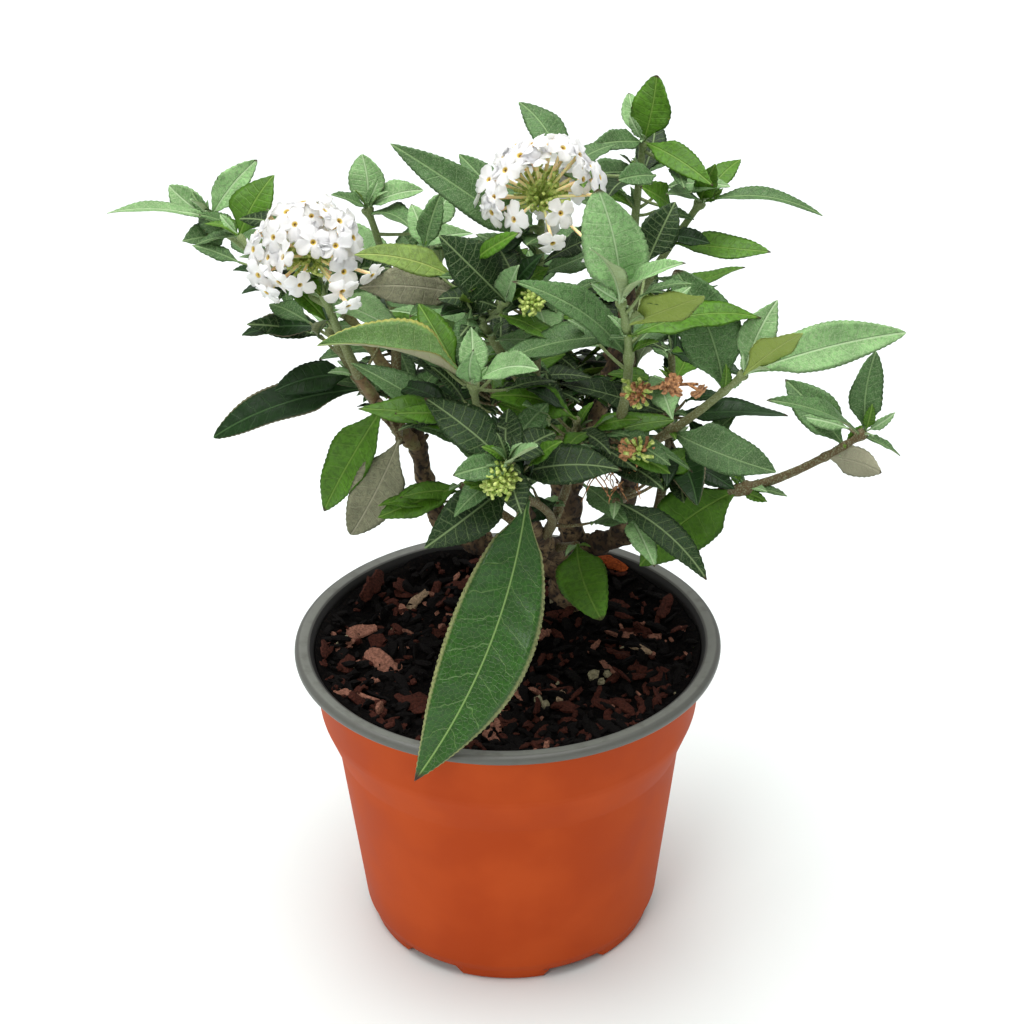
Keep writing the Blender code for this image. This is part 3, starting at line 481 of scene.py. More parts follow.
# %% The pot's shell
lip = POT_HEIGHT - RIM_THICK
outer_section = [
    (FOOT_RADIUS, 0.0), (FOOT_RADIUS + 0.9, 3.6), (HEEL_RADIUS, HEEL_Z),
    (SHOULDER_RADIUS - 0.5, SHOULDER_Z - 0.8), (SHOULDER_RADIUS, SHOULDER_Z + 0.5),
    (BAND_RADIUS, BAND_Z - 1.2), (BAND_RADIUS + 0.5, BAND_Z + 0.8),
    (MOUTH_RADIUS, lip + 0.4), (RIM_RADIUS - 0.8, lip), (RIM_RADIUS, lip + 0.7),
    (RIM_RADIUS, POT_HEIGHT - 1.0), (RIM_RADIUS - 1.3, POT_HEIGHT)]
inner_section = [
    (MOUTH_RADIUS + 0.4, POT_HEIGHT - 0.5), (MOUTH_RADIUS - WALL, POT_HEIGHT - 2.2),
    (BAND_RADIUS + 0.5 - WALL, BAND_Z + 0.8), (BAND_RADIUS - WALL, BAND_Z - 0.6),
    (SHOULDER_RADIUS - WALL, SHOULDER_Z + 0.7),
    (SHOULDER_RADIUS - 0.5 - WALL, SHOULDER_Z - 1.2),
    (HEEL_RADIUS - WALL, HEEL_Z + 0.6), (FOOT_RADIUS - WALL, DRAIN_HEIGHT + FLOOR)]
underside = [(DRAIN_INNER - 0.1, 0.0), (DRAIN_INNER + 0.8, 0.0)]
pot = turned("moulded_pot", rounded(underside + outer_section + inner_section, 0.7))

for vertex in pot.data.vertices:
    radius = math.hypot(vertex.co.x, vertex.co.y) / MM
    if vertex.co.z < 3.0 * MM and radius > DRAIN_INNER:
        turn = math.degrees(math.atan2(vertex.co.y, vertex.co.x))
        pitch = 360 / DRAINS
        off = abs((turn - DRAIN_FIRST + pitch / 2) % pitch - pitch / 2)
        if off < DRAIN_HALF_ANGLE:
            vertex.co.z += DRAIN_HEIGHT * MM * min(1, (DRAIN_HALF_ANGLE - off) / DRAIN_SLOPE)
print("pot faces:", len(pot.data.polygons))

# %% [markdown]
# ## The pot's finish
# Terracotta-coloured plastic with a dull sheen, slightly uneven where it was handled, a
# grey rolled rim with dust in it and painted shade at its two edges, and a black inner
# layer. The three are told apart by where a face lies on the section.

# %% Pot materials
# terracotta polypropylene, with faint flow marks a few centimetres long
orange, node, shader = new_material("terracotta polypropylene", "ad4212", 0.42)
place = node("TexCoord", out="Object")
cloud = node("TexNoise", place, PER_MM / 26, 3.0)
shade = node("Mix", node("MapRange", cloud, 0.35, 0.7), light("ad4217"), light("b84b1e"))
dust = node("MapRange", node("TexNoise", place, PER_MM / 3.5, 6.0), 0.64, 0.85, 0.0, 0.16)
waves = node("TexNoise", place, PER_MM / 9, 3.0)
plug(shader, {"Base Color": node("Mix", dust, shade, light("b8603c")),
              "Specular IOR Level": 0.07,
              "Roughness": node("MapRange", cloud, 0.3, 0.7, 0.5, 0.62),
              "Normal": node("Bump", 0.25, 0.2 * MM, Height=waves)})

# grey polypropylene of the rim, dusted with soil, with painted shade darkening its two edges
OUTER_LIP_SHADE, INNER_EDGE_SHADE = (0.0632, 0.0640), (0.0613, 0.0607)   # radii in metres
grey, node, shader = new_material("grey rim polypropylene", "7b7a72", 0.42)
place = node("TexCoord", out="Object")
far = node("VectorMath LENGTH", node("VectorMath MULTIPLY", place, (1, 1, 0)))
# painted shade: the outer face of the turned-down lip and the edge into the mouth are darkened
shade = node("Mix", node("MapRange", far, *OUTER_LIP_SHADE), light("74766f"), light("565751"))
shade = node("Mix", node("MapRange", far, *INNER_EDGE_SHADE), shade, light("4b4b47"))
stain = node("MapRange", node("TexNoise", place, PER_MM / 4, 6.0), 0.45, 0.8, 0.0, 0.6)
grit = node("TexNoise", place, PER_MM / 1.4, 4.0)
plug(shader, {"Base Color": node("Mix", stain, shade, light("4f4d46")),
              "Normal": node("Bump", 0.2, 0.15 * MM, Height=grit)})

# black inner layer of the wall, moulded and dull
black, node, shader = new_material("black inner polypropylene", "141312", 0.55)

for look in (orange, grey, black):
    pot.data.materials.append(look)
for face in pot.data.polygons:
    face.use_smooth = True
    centre = face.center / MM
    radius = math.hypot(centre.x, centre.y)
    inward = face.normal.x * centre.x + face.normal.y * centre.y < -0.02 * radius
    inside_floor = face.normal.z > 0.7 and centre.z < 20
    if centre.z > lip - 0.1 and radius > MOUTH_RADIUS + 0.05:
        face.material_index = 1
    elif inward or inside_floor:
        face.material_index = 2
finish_piece(pot, ["pot"])

# %% [markdown]
# ## The potting mix
# The mix is composted bark: a dark lumpy ground with brown chips lying every way, and a few
# pale grains of fertiliser. The ground is a turned body with a noisy top. The large chips
# are torn shards, set where they show, and the small ones are slabs with broken corners, so
# that each catches the light singly.

# %% The lumpy ground
inside = [(r - 0.3, z) for r, z in reversed(inner_section[2:])]
inside[0] = (inside[0][0], inside[0][1] + 0.3)
slope = (MOUTH_RADIUS - BAND_RADIUS - 0.5) / (POT_HEIGHT - 2.6 - BAND_Z)
BRIM = BAND_RADIUS + 0.5 - WALL - 0.3 + slope * (SOIL_TOP - BAND_Z - 2.5)
soil_section = [(3.0, inside[0][1])] + inside + [(BRIM, SOIL_TOP - 1.2)]
GROUND_RINGS = 44
soil_section += [(BRIM * (1 - step / GROUND_RINGS), SOIL_TOP)
                 for step in range(1, GROUND_RINGS - 1)]
BANK = 6.5             # how far the mix is banked up against the wall


def from_trunk(x, y):
    return math.hypot(x - TRUNK_FOOT[0], y - TRUNK_FOOT[1])


def soil_height(x, y):
    """Height of the ground in millimetres, flat where the trunk stands."""
    lumps = noise.noise(Vector((x, y, 3)) * 0.09) * 1.1
    lumps += noise.noise(Vector((x, y, 9)) * 0.33) * 0.8
    near = min(1.0, max(0.0, (from_trunk(x, y) - 8) / 8))
    wall = min(1.0, max(0.0, (math.hypot(x, y) / BRIM - 0.80) / 0.2))
    bank = BANK * wall ** 1.5 * (0.9 + 0.3 * noise.noise(Vector((x, y, 5)) * 0.06))
    return SOIL_TOP + lumps * near + bank - 0.3


soil = turned("potting_mix_ground", soil_section)
for vertex in soil.data.vertices:
    x, y, z = vertex.co / MM
    if z > SOIL_TOP - 2.0:
        vertex.co.z = soil_height(x, y) * MM
        if math.hypot(x, y) > BRIM - 0.1:
            vertex.co.x *= 1 + 0.9 / BRIM
            vertex.co.y *= 1 + 0.9 / BRIM
for face in soil.data.polygons:
    face.use_smooth = True

# dark composted bark, moist and so nearly black, in grains of about 1 mm
mix, node, shader = new_material("composted bark mix", "1a1310", 0.95)
grain = node("TexNoise", node("TexCoord", out="Object"), PER_MM / 1.3, 8.0)
share = node("MapRange", grain, 0.45, 0.75)
plug(shader, {"Base Color": node("Mix", share, light("030202"), light("120c09")),
              "Specular IOR Level": 0.08,
              "Normal": node("Bump", 1.0, 1.2 * MM, Height=grain)})
soil.data.materials.append(mix)
finish_piece(soil, ["potting_mix"])

# %% Chips and grains on the ground
def chip_shape(rng, long, wide, thick):
    """A slab of 26 points: a cube cut in two each way, its corners pulled about."""
    points, index = [], {}
    for x in (-1, 0, 1):
        for y in (-1, 0, 1):
            for z in (-1, 0, 1):
                if x or y or z:
                    index[x, y, z] = len(points)
                    pull = 1 - 0.16 * (abs(x) + abs(y) + abs(z) - 1)
                    jag = [rng.uniform(-0.22, 0.22) for _ in range(3)]
                    points.append(((x * pull + jag[0]) * long, (y * pull + jag[1]) * wide,
                                   (z * pull + jag[2]) * thick))
    quads = []
    for axis in range(3):
        u, v = (axis + 1) % 3, (axis + 2) % 3
        for side in (-1, 1):
            for a in (-1, 0):
                for b in (-1, 0):
                    corners = []
                    for da, db in ((0, 0), (1, 0), (1, 1), (0, 1)):
                        spot = [0, 0, 0]
                        spot[axis], spot[u], spot[v] = side, a + da, b + db
                        corners.append(index[tuple(spot)])
                    quads.append(corners if side > 0 else corners[::-1])
    return np.array(points), np.array(quads)


FULL_TURN, QUARTER_TURN = 6.283, 1.57      # the bounds of turns that are drawn, in radians


def turn_matrix(rng, lean=0.5):
    """A turn about the upright and a lean away from flat."""
    return np.array(Matrix.Rotation(rng.uniform(0, FULL_TURN), 3, "Z")
                    @ Matrix.Rotation(rng.gauss(0, lean), 3, "X")
                    @ Matrix.Rotation(rng.gauss(0, lean), 3, "Y"))


CHIP_KINDS = (("dark bark chip", "0d0908"), ("red-brown bark chip", "4a261d"),
              ("weathered bark chip", "9a6a58"), ("pale fertiliser grain", "a39b7d"),
              ("orange clay grain", "a34c22"), ("pale split wood", "a88f74"))
chip_materials = []
for title, colour in CHIP_KINDS:
    # the split grain of bark runs about 0.7 mm apart
    look, node, shader = new_material(title, colour, 0.85)
    fibre = node("TexNoise", node("TexCoord", out="Object"), PER_MM / 0.7, 5.0)
    dark = [c * 0.45 for c in light(colour)[:3]] + [1.0]
    share = node("MapRange", fibre, 0.3, 0.7)
    plug(shader, {"Base Color": node("Mix", share, dark, light(colour)),
                  "Specular IOR Level": 0.12,
                  "Normal": node("Bump", 0.8, 0.5 * MM, Height=fibre)})
    chip_materials.append(look)

SMALL_CHIPS = 1400
MORE_SHARDS = 170      # shards placed by the seed, besides those that are listed
SHARD_OFF, CHIP_OFF = 10, 7.5              # how far they keep off the middle of the trunk
rng = random.Random(SEED)
chips = Store()


def shard(rng, long, wide, thick):
    """A split of bark along X: flat rings of uneven width, bowed and torn at both ends."""
    rings, around, points = 9, 8, []
    bow, lean = rng.uniform(-0.12, 0.12) * long, rng.uniform(-0.25, 0.25)
    left, right = ([rng.uniform(0.62, 1.12) for _ in range(rings)] for _ in range(2))
    for ring in range(rings):
        t = ring / (rings - 1)
        swell = (math.sin(math.pi * (0.08 + 0.84 * t))) ** 0.5
        for k in range(around):
            a = 2 * math.pi * k / around
            side = left[ring] if math.cos(a) > 0 else right[ring]
            y = math.copysign(abs(math.cos(a)) ** 0.6, math.cos(a)) * wide / 2 * side * swell
            z = math.sin(a) * thick / 2 * swell + rng.uniform(-0.12, 0.12)
            x = (t - 0.5) * long + lean * y + rng.uniform(-0.04, 0.04) * long
            points.append((x, y, z + bow * 4 * t * (1 - t)))
    points += [(-long / 2, 0, 0), (long / 2, 0, 0)]
    quads, tris = rings_to_faces(rings, around)
    return np.array(points), quads, tris


# large shards: place, length, width, turn about the upright, lean, kind
LARGE_CHIPS = [
    ((-49, 13), 17, 6.5, 24, 0.3, 2), ((-30, 33), 13, 3.6, 60, 0.5, 5),
    ((-39, -2), 12, 6.0, -50, 0.5, 2), ((-27, -25), 11, 7.5, 40, 0.3, 1),
    ((41, 12), 14, 5.5, -12, 0.2, 2), ((24, -41), 15, 4.5, 14, 0.3, 1),
    ((-43, 34), 15, 6.5, 75, 0.9, 1), ((-33, 42), 12, 6.0, 60, 0.5, 1),
    ((-49, -4), 9, 6.0, 80, 0.3, 1), ((41, 3), 8, 3.2, -40, 0.3, 5),
    ((46, -14), 11, 5.0, 50, 0.4, 1), ((6, -46), 12, 4.0, -8, 0.2, 1),
    ((-6, -40), 11, 3.8, -60, 0.3, 2), ((34, -28), 12, 4.0, -55, 0.3, 1),
    ((-44, -22), 12, 3.2, -20, 0.2, 2), ((30, 22), 9, 5.0, 20, 0.3, 0),
    ((12, 20), 10, 4.5, 40, 0.3, 1), ((50, 22), 10, 4.6, 70, 0.4, 1),
    ((-14, 44), 12, 5.0, 10, 0.4, 1), ((8, 50), 12, 4.0, -15, 0.4, 1),
    ((34, 46), 11, 5.0, -35, 0.5, 4), ((-20, 8), 10, 4.0, 35, 0.2, 0),
    ((16, -22), 8, 3.0, 70, 0.4, 5), ((-56, -2), 10, 4.0, 95, 0.8, 1)]
for number in range(MORE_SHARDS):
    far, a = BRIM * math.sqrt(rng.uniform(0.02, 0.95)), rng.uniform(0, FULL_TURN)
    LARGE_CHIPS.append(((far * math.cos(a), far * math.sin(a)), rng.uniform(4.5, 10.5),
                        rng.uniform(1.8, 4.2), rng.uniform(0, 180), rng.gauss(0, 0.45),
                        rng.choice((0, 0, 0, 0, 1, 1, 1, 2))))
for (x, y), long, wide, turn, lean, kind in LARGE_CHIPS:
    if from_trunk(x, y) < SHARD_OFF:
        continue
    points, quads, tris = shard(rng, long, wide, rng.uniform(0.8, 1.6))
    tilt = Matrix.Rotation(math.radians(turn), 3, "Z") @ Matrix.Rotation(lean, 3, "X")
    points = points @ np.array(tilt @ Matrix.Rotation(rng.gauss(0, 0.16), 3, "Y")).T
    lift = 3.2 if lean > 0.8 else 0.8       # a shard that stands on edge lies higher
    points = points + (x, y, soil_height(x, y) + lift)
    far = np.hypot(points[:, 0], points[:, 1])
    points[:, :2] *= np.minimum(1.0, (BRIM + 0.6) / far)[:, None]
    chips.add(points, quads, tris, value=(0.0, rng.random()), look=kind)
for number in range(SMALL_CHIPS):
    far, a = BRIM * math.sqrt(rng.random()) * 0.985, rng.uniform(0, FULL_TURN)
    x, y = far * math.cos(a), far * math.sin(a)
    if from_trunk(x, y) < CHIP_OFF:
        continue
    chance = rng.random()
    kind = 0 if chance < 0.66 else 1 if chance < 0.93 else 2 if chance < 0.985 else 3
    long = rng.uniform(0.8, 2.0) if rng.random() < 0.7 else rng.uniform(2.0, 4.2)
    long *= 0.5 if kind == 3 else 1.0
    long = min(long, (BRIM - far) * 0.9 + 0.5)
    points, quads = chip_shape(rng, long, long * rng.uniform(0.3, 0.65),
                               long * rng.uniform(0.12, 0.3) + 0.2)
    lift = rng.uniform(-0.2, 0.9)
    points = points @ turn_matrix(rng).T + (x, y, soil_height(x, y) + lift)
    chips.add(points, quads, [], value=(0.0, rng.random()), look=kind)
# place, size and kind of the pale grains and of the clay grains by the trunk
GRAINS = ((24, 44, 2.6, 4), (29, 41, 1.8, 4), (9, -24, 1.6, 3), (11, -26, 1.4, 3),
          (26, -12, 1.9, 3), (28, -14, 1.5, 3), (30, -11, 1.4, 3))
for x, y, size, kind in GRAINS:
    points, quads = chip_shape(rng, size, size * 0.8, size * 0.7)
    chips.add(points @ turn_matrix(rng).T + (x, y, soil_height(x, y) + size * 0.5), quads, [],
              look=kind)
chips.build("bark_chips", chip_materials, ["potting_mix"], "potting_mix", smooth=False)

# %% [markdown]
# ## Bark of the trunk and boughs
# The stems are woody, ridged and knobbed where old shoots were cut. Each limb is a ring
# mesh pushed in and out by noise along the grain, with swellings, and it starts inside its
# parent so that the joint closes like a real fork. Short cut stubs stand on the old wood.

# %% Limbs with relief
def frame_of(heading):
    side = heading.cross(Vector((0, 0, 1)))
    if side.length < 0.05:
        side = heading.cross(Vector((0, 1, 0)))
    side.normalize()
    return side, side.cross(heading).normalized()


def limb_mesh(limb, rings, around, rough, knots=(), flare=0.0, start=0.0):
    """A closed limb. Rough is the depth of its relief against its radius."""
    points, maps = [], []
    side, up = frame_of(limb.heading(start))
    length = (limb.end - limb.root).length
    for ring in range(rings):
        t = start + (1 - start) * ring / (rings - 1)
        heading = limb.heading(t)
        side = (side - heading * side.dot(heading)).normalized()
        up = side.cross(heading)
        centre = limb.at(t)
        swell = 1 + flare * (1 - t) ** 4
        swell += sum(high * math.exp(-((t - where) * length / wide) ** 2)
                     for where, high, wide in knots)
        radius = limb.radius(t) * swell * (0.82 if ring == rings - 1 else 1.0)
        for k in range(around):
            a = 2 * math.pi * k / around
            way = side * math.cos(a) + up * math.sin(a)
            spot = centre + way * radius
            grain = Vector((spot.x * 0.55, spot.y * 0.55, spot.z * 0.22))
            relief = noise.noise(grain) + 0.5 * noise.noise(grain * 2.7)
            points.append(spot + way * radius * rough * relief)
            maps.append((t, k / around, t * length * MM, a * radius * MM))
    points += [limb.at(start), limb.at(1.0) + limb.heading(1.0) * limb.last * 0.35]
    maps += [(start, 0.5, 0, 0), (1, 0.5, length * MM, 0)]
    quads, tris = rings_to_faces(rings, around)
    return np.array([tuple(p) for p in points]), quads, tris, np.array(maps)


BARK_STEPS, BARK_RELIEF = 22, 0.24
STUB_STEPS, STUB_RELIEF = 10, 0.2
rng = random.Random(SEED + 1)
wood = Store()
for name, limb in limbs.items():
    length = (limb.end - limb.root).length
    knots = [(rng.uniform(0.1, 0.95), rng.uniform(0.12, 0.34), rng.uniform(1.2, 2.6))
             for _ in range(int(length / 9))]
    rings = int(length * 1.1) + 8
    flare = 0.30 if name == "trunk" else 0.16
    points, quads, tris, maps = limb_mesh(limb, rings, BARK_STEPS, BARK_RELIEF, knots, flare)
    wood.add(points, quads, tris, maps, look=0 if limb.first > 2.2 else 1)
    for _ in range(int(length / 14)):
        t = rng.uniform(0.15, 0.9)
        side, up = frame_of(limb.heading(t))
        a = rng.uniform(0, FULL_TURN)
        way = (side * math.cos(a) + up * math.sin(a) + limb.heading(t) * 0.5).normalized()
        reach = limb.radius(t) + rng.uniform(1.2, 3.4)
        stub = Limb(limb.at(t), limb.at(t) + way * reach, (0, 0, 0),
                    rng.uniform(0.9, 1.5), rng.uniform(0.7, 1.1))
        wood.add(*limb_mesh(stub, 6, STUB_STEPS, STUB_RELIEF), look=0)

# old brown bark, ridges about 1.5 mm apart, and younger tan bark with some green in it:
# name, colour, roughness, patches in mm, where they turn, their two colours, ridges in mm,
# detail, where they show and how far, their colour, strength and depth in mm
BARKS = (
    ("ridged brown bark", "6b4a30", 0.9, 7, (0.42, 0.62), ("4a3826", "7f6a4c"),
     1.5, 6.0, (0.55, 0.35, 0.0, 1.0), "1f1610", 0.9, 0.6),
    ("tan young bark", "7d6a45", 0.8, 6, (0.4, 0.65), ("6f5637", "7c7a4c"),
     0.9, 5.0, (0.5, 0.3, 0.0, 0.6), "3f2e1e", 0.5, 0.3))
barks = []
for (title, colour, roughness, patch, turns, pair,
     ridge, detail, shows, dark, strength, depth) in BARKS:
    look, node, shader = new_material(title, colour, roughness)
    place = node("TexCoord", out="Object")
    patches = node("MapRange", node("TexNoise", place, PER_MM / patch, 3.0), *turns)
    base = node("Mix", patches, light(pair[0]), light(pair[1]))
    ridges = node("TexNoise", place, PER_MM / ridge, detail)
    plug(shader, {"Base Color": node("Mix", node("MapRange", ridges, *shows), base, light(dark)),
                  "Normal": node("Bump", strength, depth * MM, Height=ridges)})
    barks.append(look)
wood.build("woody_limbs", barks, list(LIMBS), "bark")

# %% [markdown]
# ## Leaves
# A butterfly bush leaf is lance-shaped with fine teeth, a sunken midrib, quilted cells
# between the veins and a felt that is thick on young leaves and thin on old ones. Each
# leaf here is a thin closed body of two sheets that meet at the toothed margin. The net of
# veins, too fine to model, is in the finish, which reads the leaf's own map.

# %% Shape of one leaf
WIDEST_AT = 0.46
FOLD = 0.16
LEAF_SAG = 0.05
STIFF_LENGTH = 60      # a leaf longer than this hangs without a sag
TOOTH = 0.11           # how far a tooth stands out
ROW_STEP = 0.8         # length of half a tooth
VEIN_PAIRS, VEIN_SLANT = 10, 0.75
LEAF_STRIPS, SMALL_STRIPS = 8, 5           # strips of faces across a leaf


def half_width(t, blunt, full):
    """The outline of a leaf. Blunt below 0.9 rounds the tip, full widens its foot."""
    swell = np.sin(np.pi * np.clip(t, 1e-4, 1) ** (math.log(0.5) / math.log(WIDEST_AT)))
    swell = swell ** np.where(t > WIDEST_AT, blunt, 0.9)
    return np.maximum(0.09 * (1 - t), swell * np.minimum(1.0, 0.35 + 4.2 * t * t + full * t))


TEMPLATES = {}         # the faces of a leaf, kept by its rows and strips


def leaf_body(base, axes, length, width, sag, rng, strips, fold=FOLD, curl=0.0, blunt=0.9,
              twist=0.0, sway=0.0, full=0.9):
    """Points, faces and map of one leaf in millimetres. Curl lowers the tip, twist turns
    the blade along its length, and sway bows it sideways."""
    rows = int(min(110, max(16, length / ROW_STEP)))
    if (rows, strips) not in TEMPLATES:
        TEMPLATES[rows, strips] = rings_to_faces(rows, 2 * strips)
    quads, tris = TEMPLATES[rows, strips]
    along, across, face = (np.array(tuple(v)) for v in axes)
    s = np.linspace(0.0, 0.992, rows)[:, None]
    upper = np.linspace(-1, 1, strips + 1)
    upper = np.sign(upper) * np.abs(upper) ** 0.9
    c = np.concatenate([upper, upper[-2:0:-1]])[None, :]
    sheet = np.concatenate([np.ones(strips + 1), -np.ones(strips - 1)])[None, :]
    sheet = sheet * (1 - np.abs(c) ** 6)
    half = half_width(s, blunt, full) * width / 2
    teeth = TOOTH * np.where(np.arange(rows) % 2, 1, -1)[:, None] * (s > 0.12) * (s < 0.97)
    teeth = teeth * np.abs(c) ** 6 * np.sign(c)
    veins = (s * VEIN_PAIRS - VEIN_SLANT * np.abs(c)) * 2 * math.pi
    quilt = 0.011 * min(width, 12) * np.cos(veins) * np.abs(c) * (1 - np.abs(c)) * 4
    quilt = quilt * np.clip((s - 0.08) * 8, 0, 1) * np.clip((0.97 - s) * 8, 0, 1)
    wave = 0.11 * half * np.sin(2 * math.pi * (s * rng.uniform(1.4, 2.6) + rng.random())
                                + (c > 0) * rng.uniform(0.5, 2.5)) * np.abs(c) ** 2
    stalk = np.exp(-s / 0.035)
    thick = 0.13 + 0.42 * stalk
    rib = np.exp(-(c * half / 0.55) ** 2)
    lift = (sheet * thick - np.where(sheet > 0, 0.16, 0.34) * rib * (1 - 0.8 * s)
            + quilt + wave + fold * (half * np.abs(c) ** 1.3 + 1.3 * teeth * np.sign(c)))
    turn = twist * s ** 1.5
    wide = c * half + teeth
    sideways = wide * np.cos(turn) - lift * np.sin(turn) + sway * 4 * s * (1 - s)
    upwards = wide * np.sin(turn) + lift * np.cos(turn)
    upwards = upwards + sag * length * 4 * s * (1 - s) - curl * length * s ** 2.5
    points = (np.array(tuple(base)) + (s * length)[..., None] * along
              + sideways[..., None] * across + upwards[..., None] * face)
    points = points.reshape(-1, 3)
    tip = np.array(tuple(base)) + along * length - face * curl * length
    points = np.vstack([points, np.array(tuple(base)) + face * 0.0, tip])
    blade_u = np.broadcast_to(s, (rows, 2 * strips)).ravel()
    blade_v = np.broadcast_to(c * 0.5 + 0.5, (rows, 2 * strips)).ravel()
    size_u, size_v = blade_u * length * MM, (c * half * MM + 0 * s).ravel()
    maps = np.stack([blade_u, blade_v, size_u, size_v], 1)
    maps = np.vstack([maps, (0, 0.5, 0, 0), (1, 0.5, length * MM, 0)])
    under = np.tile((np.arange(2 * strips) >= strips).astype(float), rows - 1)
    return points, quads, tris, maps, under


def grow(store, letters, base, axes, length, width, sag, rng, strips, **shape):
    """Put a leaf in a store, with the look of a letter or of one drawn from several."""
    *body, under = leaf_body(base, axes, length, width, sag, rng, strips, **shape)
    letter = letters if len(letters) == 1 else rng.choice(letters)
    store.add(*body, (under, rng.random()), LEAF_ORDER.index(letter))


# %% [markdown]
# ## Leaf finishes
# Leaves differ by age and by the side that shows: young ones are grey-green with felt,
# old ones dark and glossier, and the undersides pale. Each kind is a plain colour for the
# blade, the underside, the veins and the margin. The veins are drawn from the map, and a
# fine dark mottle is painted shade in the valleys between the cells.

# %% Leaf materials
NET_CELL = 1.5         # width of the finest cells of the net
MIDRIB = (0.14 * MM, 0.42 * MM)            # where a midrib and a side vein begin to fade,
SIDE_VEIN = (0.05 * MM, 0.26 * MM)         # and where they end, from their middle


def leaf_material(name, upper, under, vein, margin, rough, felt, net, edge):
    """Net is how far the fine veins show, edge how far the margin's colour does."""
    made, node, shader = new_material(name, upper, rough)
    place = node("TexCoord", out="Object")
    blade, size = (node("UVMap", uv_map=title) for title in ("blade", "size"))
    tone, below = (node("Attribute", attribute_name=title, out="Fac")
                   for title in ("tone", "under"))
    s = node("SeparateXYZ", blade)
    c = node("Math MULTIPLY_ADD", node("SeparateXYZ", blade, out="Y"), 2.0, -1.0)
    c = node("Math ABSOLUTE", c)
    across = node("Math ABSOLUTE", node("SeparateXYZ", size, out="Y"))
    midrib = node("MapRange", across, *MIDRIB, 1.0, 0.0)

    # side veins slant forwards in uneven pairs, and fade near the margin
    wander = node("Math MULTIPLY", node("TexNoise", place, PER_MM / 3, 1.0), 0.35)
    pair = node("Math ADD", node("Math MULTIPLY", s, VEIN_PAIRS), wander)
    pair = node("Math SUBTRACT", pair, node("Math MULTIPLY", c, VEIN_SLANT))
    off = node("Math SUBTRACT", node("Math FRACT", pair), 0.5)
    off = node("Math SUBTRACT", 0.5, node("Math ABSOLUTE", off))
    length = node("Math DIVIDE", node("SeparateXYZ", size), node("Math MAXIMUM", s, 0.01))
    off = node("Math DIVIDE", node("Math MULTIPLY", off, length), VEIN_PAIRS)
    side = node("Math MULTIPLY", node("MapRange", off, *SIDE_VEIN, 1.0, 0.0),
                node("MapRange", c, 0.97, 0.75))
    cells = node("TexVoronoi", size, PER_MM / NET_CELL, feature="DISTANCE_TO_EDGE",
                 voronoi_dimensions="2D")
    fine = node("Math MULTIPLY", node("MapRange", cells, 0.0, 0.075, 1.0, 0.0), net)
    lines = node("Math MAXIMUM", node("Math MULTIPLY", side, 0.25 + 0.5 * net), fine)
    lines = node("Math MAXIMUM", midrib, lines)

    # the blade, painted shade in its valleys, its underside, the veins, the margin, a burnt tip
    # and the felt
    mottle = node("MapRange", node("TexNoise", place, PER_MM / 6, 4.0), 0.3, 0.7)
    painted_valley_shade = node("TexNoise", place, PER_MM / 1.1, 3.0)
    dark = [v * 0.62 for v in light(upper)[:3]] + [1.0]
    pale = [min(1.0, v * 1.28) for v in light(upper)[:3]] + [1.0]
    shade = node("Math MULTIPLY", node("Math ADD", mottle, tone), 0.5)
    shade = node("Mix", shade, dark, pale)
    # painted shade: a fine dark mottle in the valleys between the cells of the quilted blade
    shade = node("Mix", node("MapRange", painted_valley_shade, 0.44, 0.62, 0.0, 0.7), shade, dark)
    down = node("MapRange", mottle, 0.0, 1.0, 0.0, 0.35)
    shade = node("Mix", below, shade, node("Mix", down, light(under), light(vein)))
    shade = node("Mix", node("Math MULTIPLY", lines, 0.75), shade, light(vein))
    rim = node("Math MULTIPLY", node("MapRange", c, 0.88, 0.97), edge)
    shade = node("Mix", rim, shade, light(margin))
    burnt = node("Math MULTIPLY", node("MapRange", s, 0.95, 0.985),
                 node("MapRange", tone, 0.55, 0.8))
    shade = node("Mix", burnt, shade, light("3a2a1c"))
    if felt:
        # the hairs are too fine to show, so the felt is drawn as tufts of 0.35 mm
        fuzz = node("TexNoise", place, PER_MM / 0.35, 3.0)
        shade = node("Mix", node("MapRange", fuzz, 0.48, 0.62, 0.0, felt), shade,
                     light("a9b992"))
    grain = node("Math MULTIPLY", node("TexNoise", place, PER_MM / 0.8, 3.0), 0.3)
    relief = node("Math SUBTRACT", grain, lines)
    plug(shader, {"Base Color": shade, "Specular IOR Level": 0.20 if rough > 0.3 else 0.42,
                  "Normal": node("Bump", 0.9, 0.28 * MM, Height=relief)})
    return made


# Felt makes a young leaf matt and pale, and the thin wax of an old one makes it shine.
# letter: name, blade, underside, veins, margin, roughness, felt, net, edge
LEAF_KINDS = {
    "y": ("young felted leaf", "7ba568", "8f9f70", "a9c496", "93b27c", 0.7, 0.42, 0.12, 0.2),
    "m": ("grown green leaf", "4b6f3d", "7f8b5c", "7c9a64", "547a40", 0.5, 0.2, 0.28, 0.2),
    "v": ("net-veined leaf", "1b3413", "7d8662", "7b9160", "4d6a3c", 0.45, 0.03, 0.45, 0.25),
    "o": ("old dark leaf", "1c3915", "77744f", "46653a", "9a8f74", 0.38, 0.0, 0.1, 0.7),
    "d": ("dark glossy leaf", "17320f", "6f7552", "33502a", "2f4a28", 0.35, 0.0, 0.1, 0.1),
    "g": ("bright green leaf", "4a741c", "6f8736", "6c8d3a", "5a8232", 0.4, 0.0, 0.15, 0.15),
    "h": ("glossy hanging leaf", "26520f", "8c965a", "8bab62", "c3c586", 0.28, 0.0, 0.26, 0.7),
    "u": ("yellow-green underside", "6d873c", "7f923e", "95a556", "8a964a", 0.55, 0.1, 0.15, 0.2),
    "p": ("pale leaf underside", "85846a", "94917a", "9f9b84", "7b7a5c", 0.7, 0.2, 0.3, 0.2),
    "t": ("leaf with a yellow edge", "5c8040", "9b947a", "86985f", "a8a752", 0.55, 0.15, 0.2, 0.9),
}
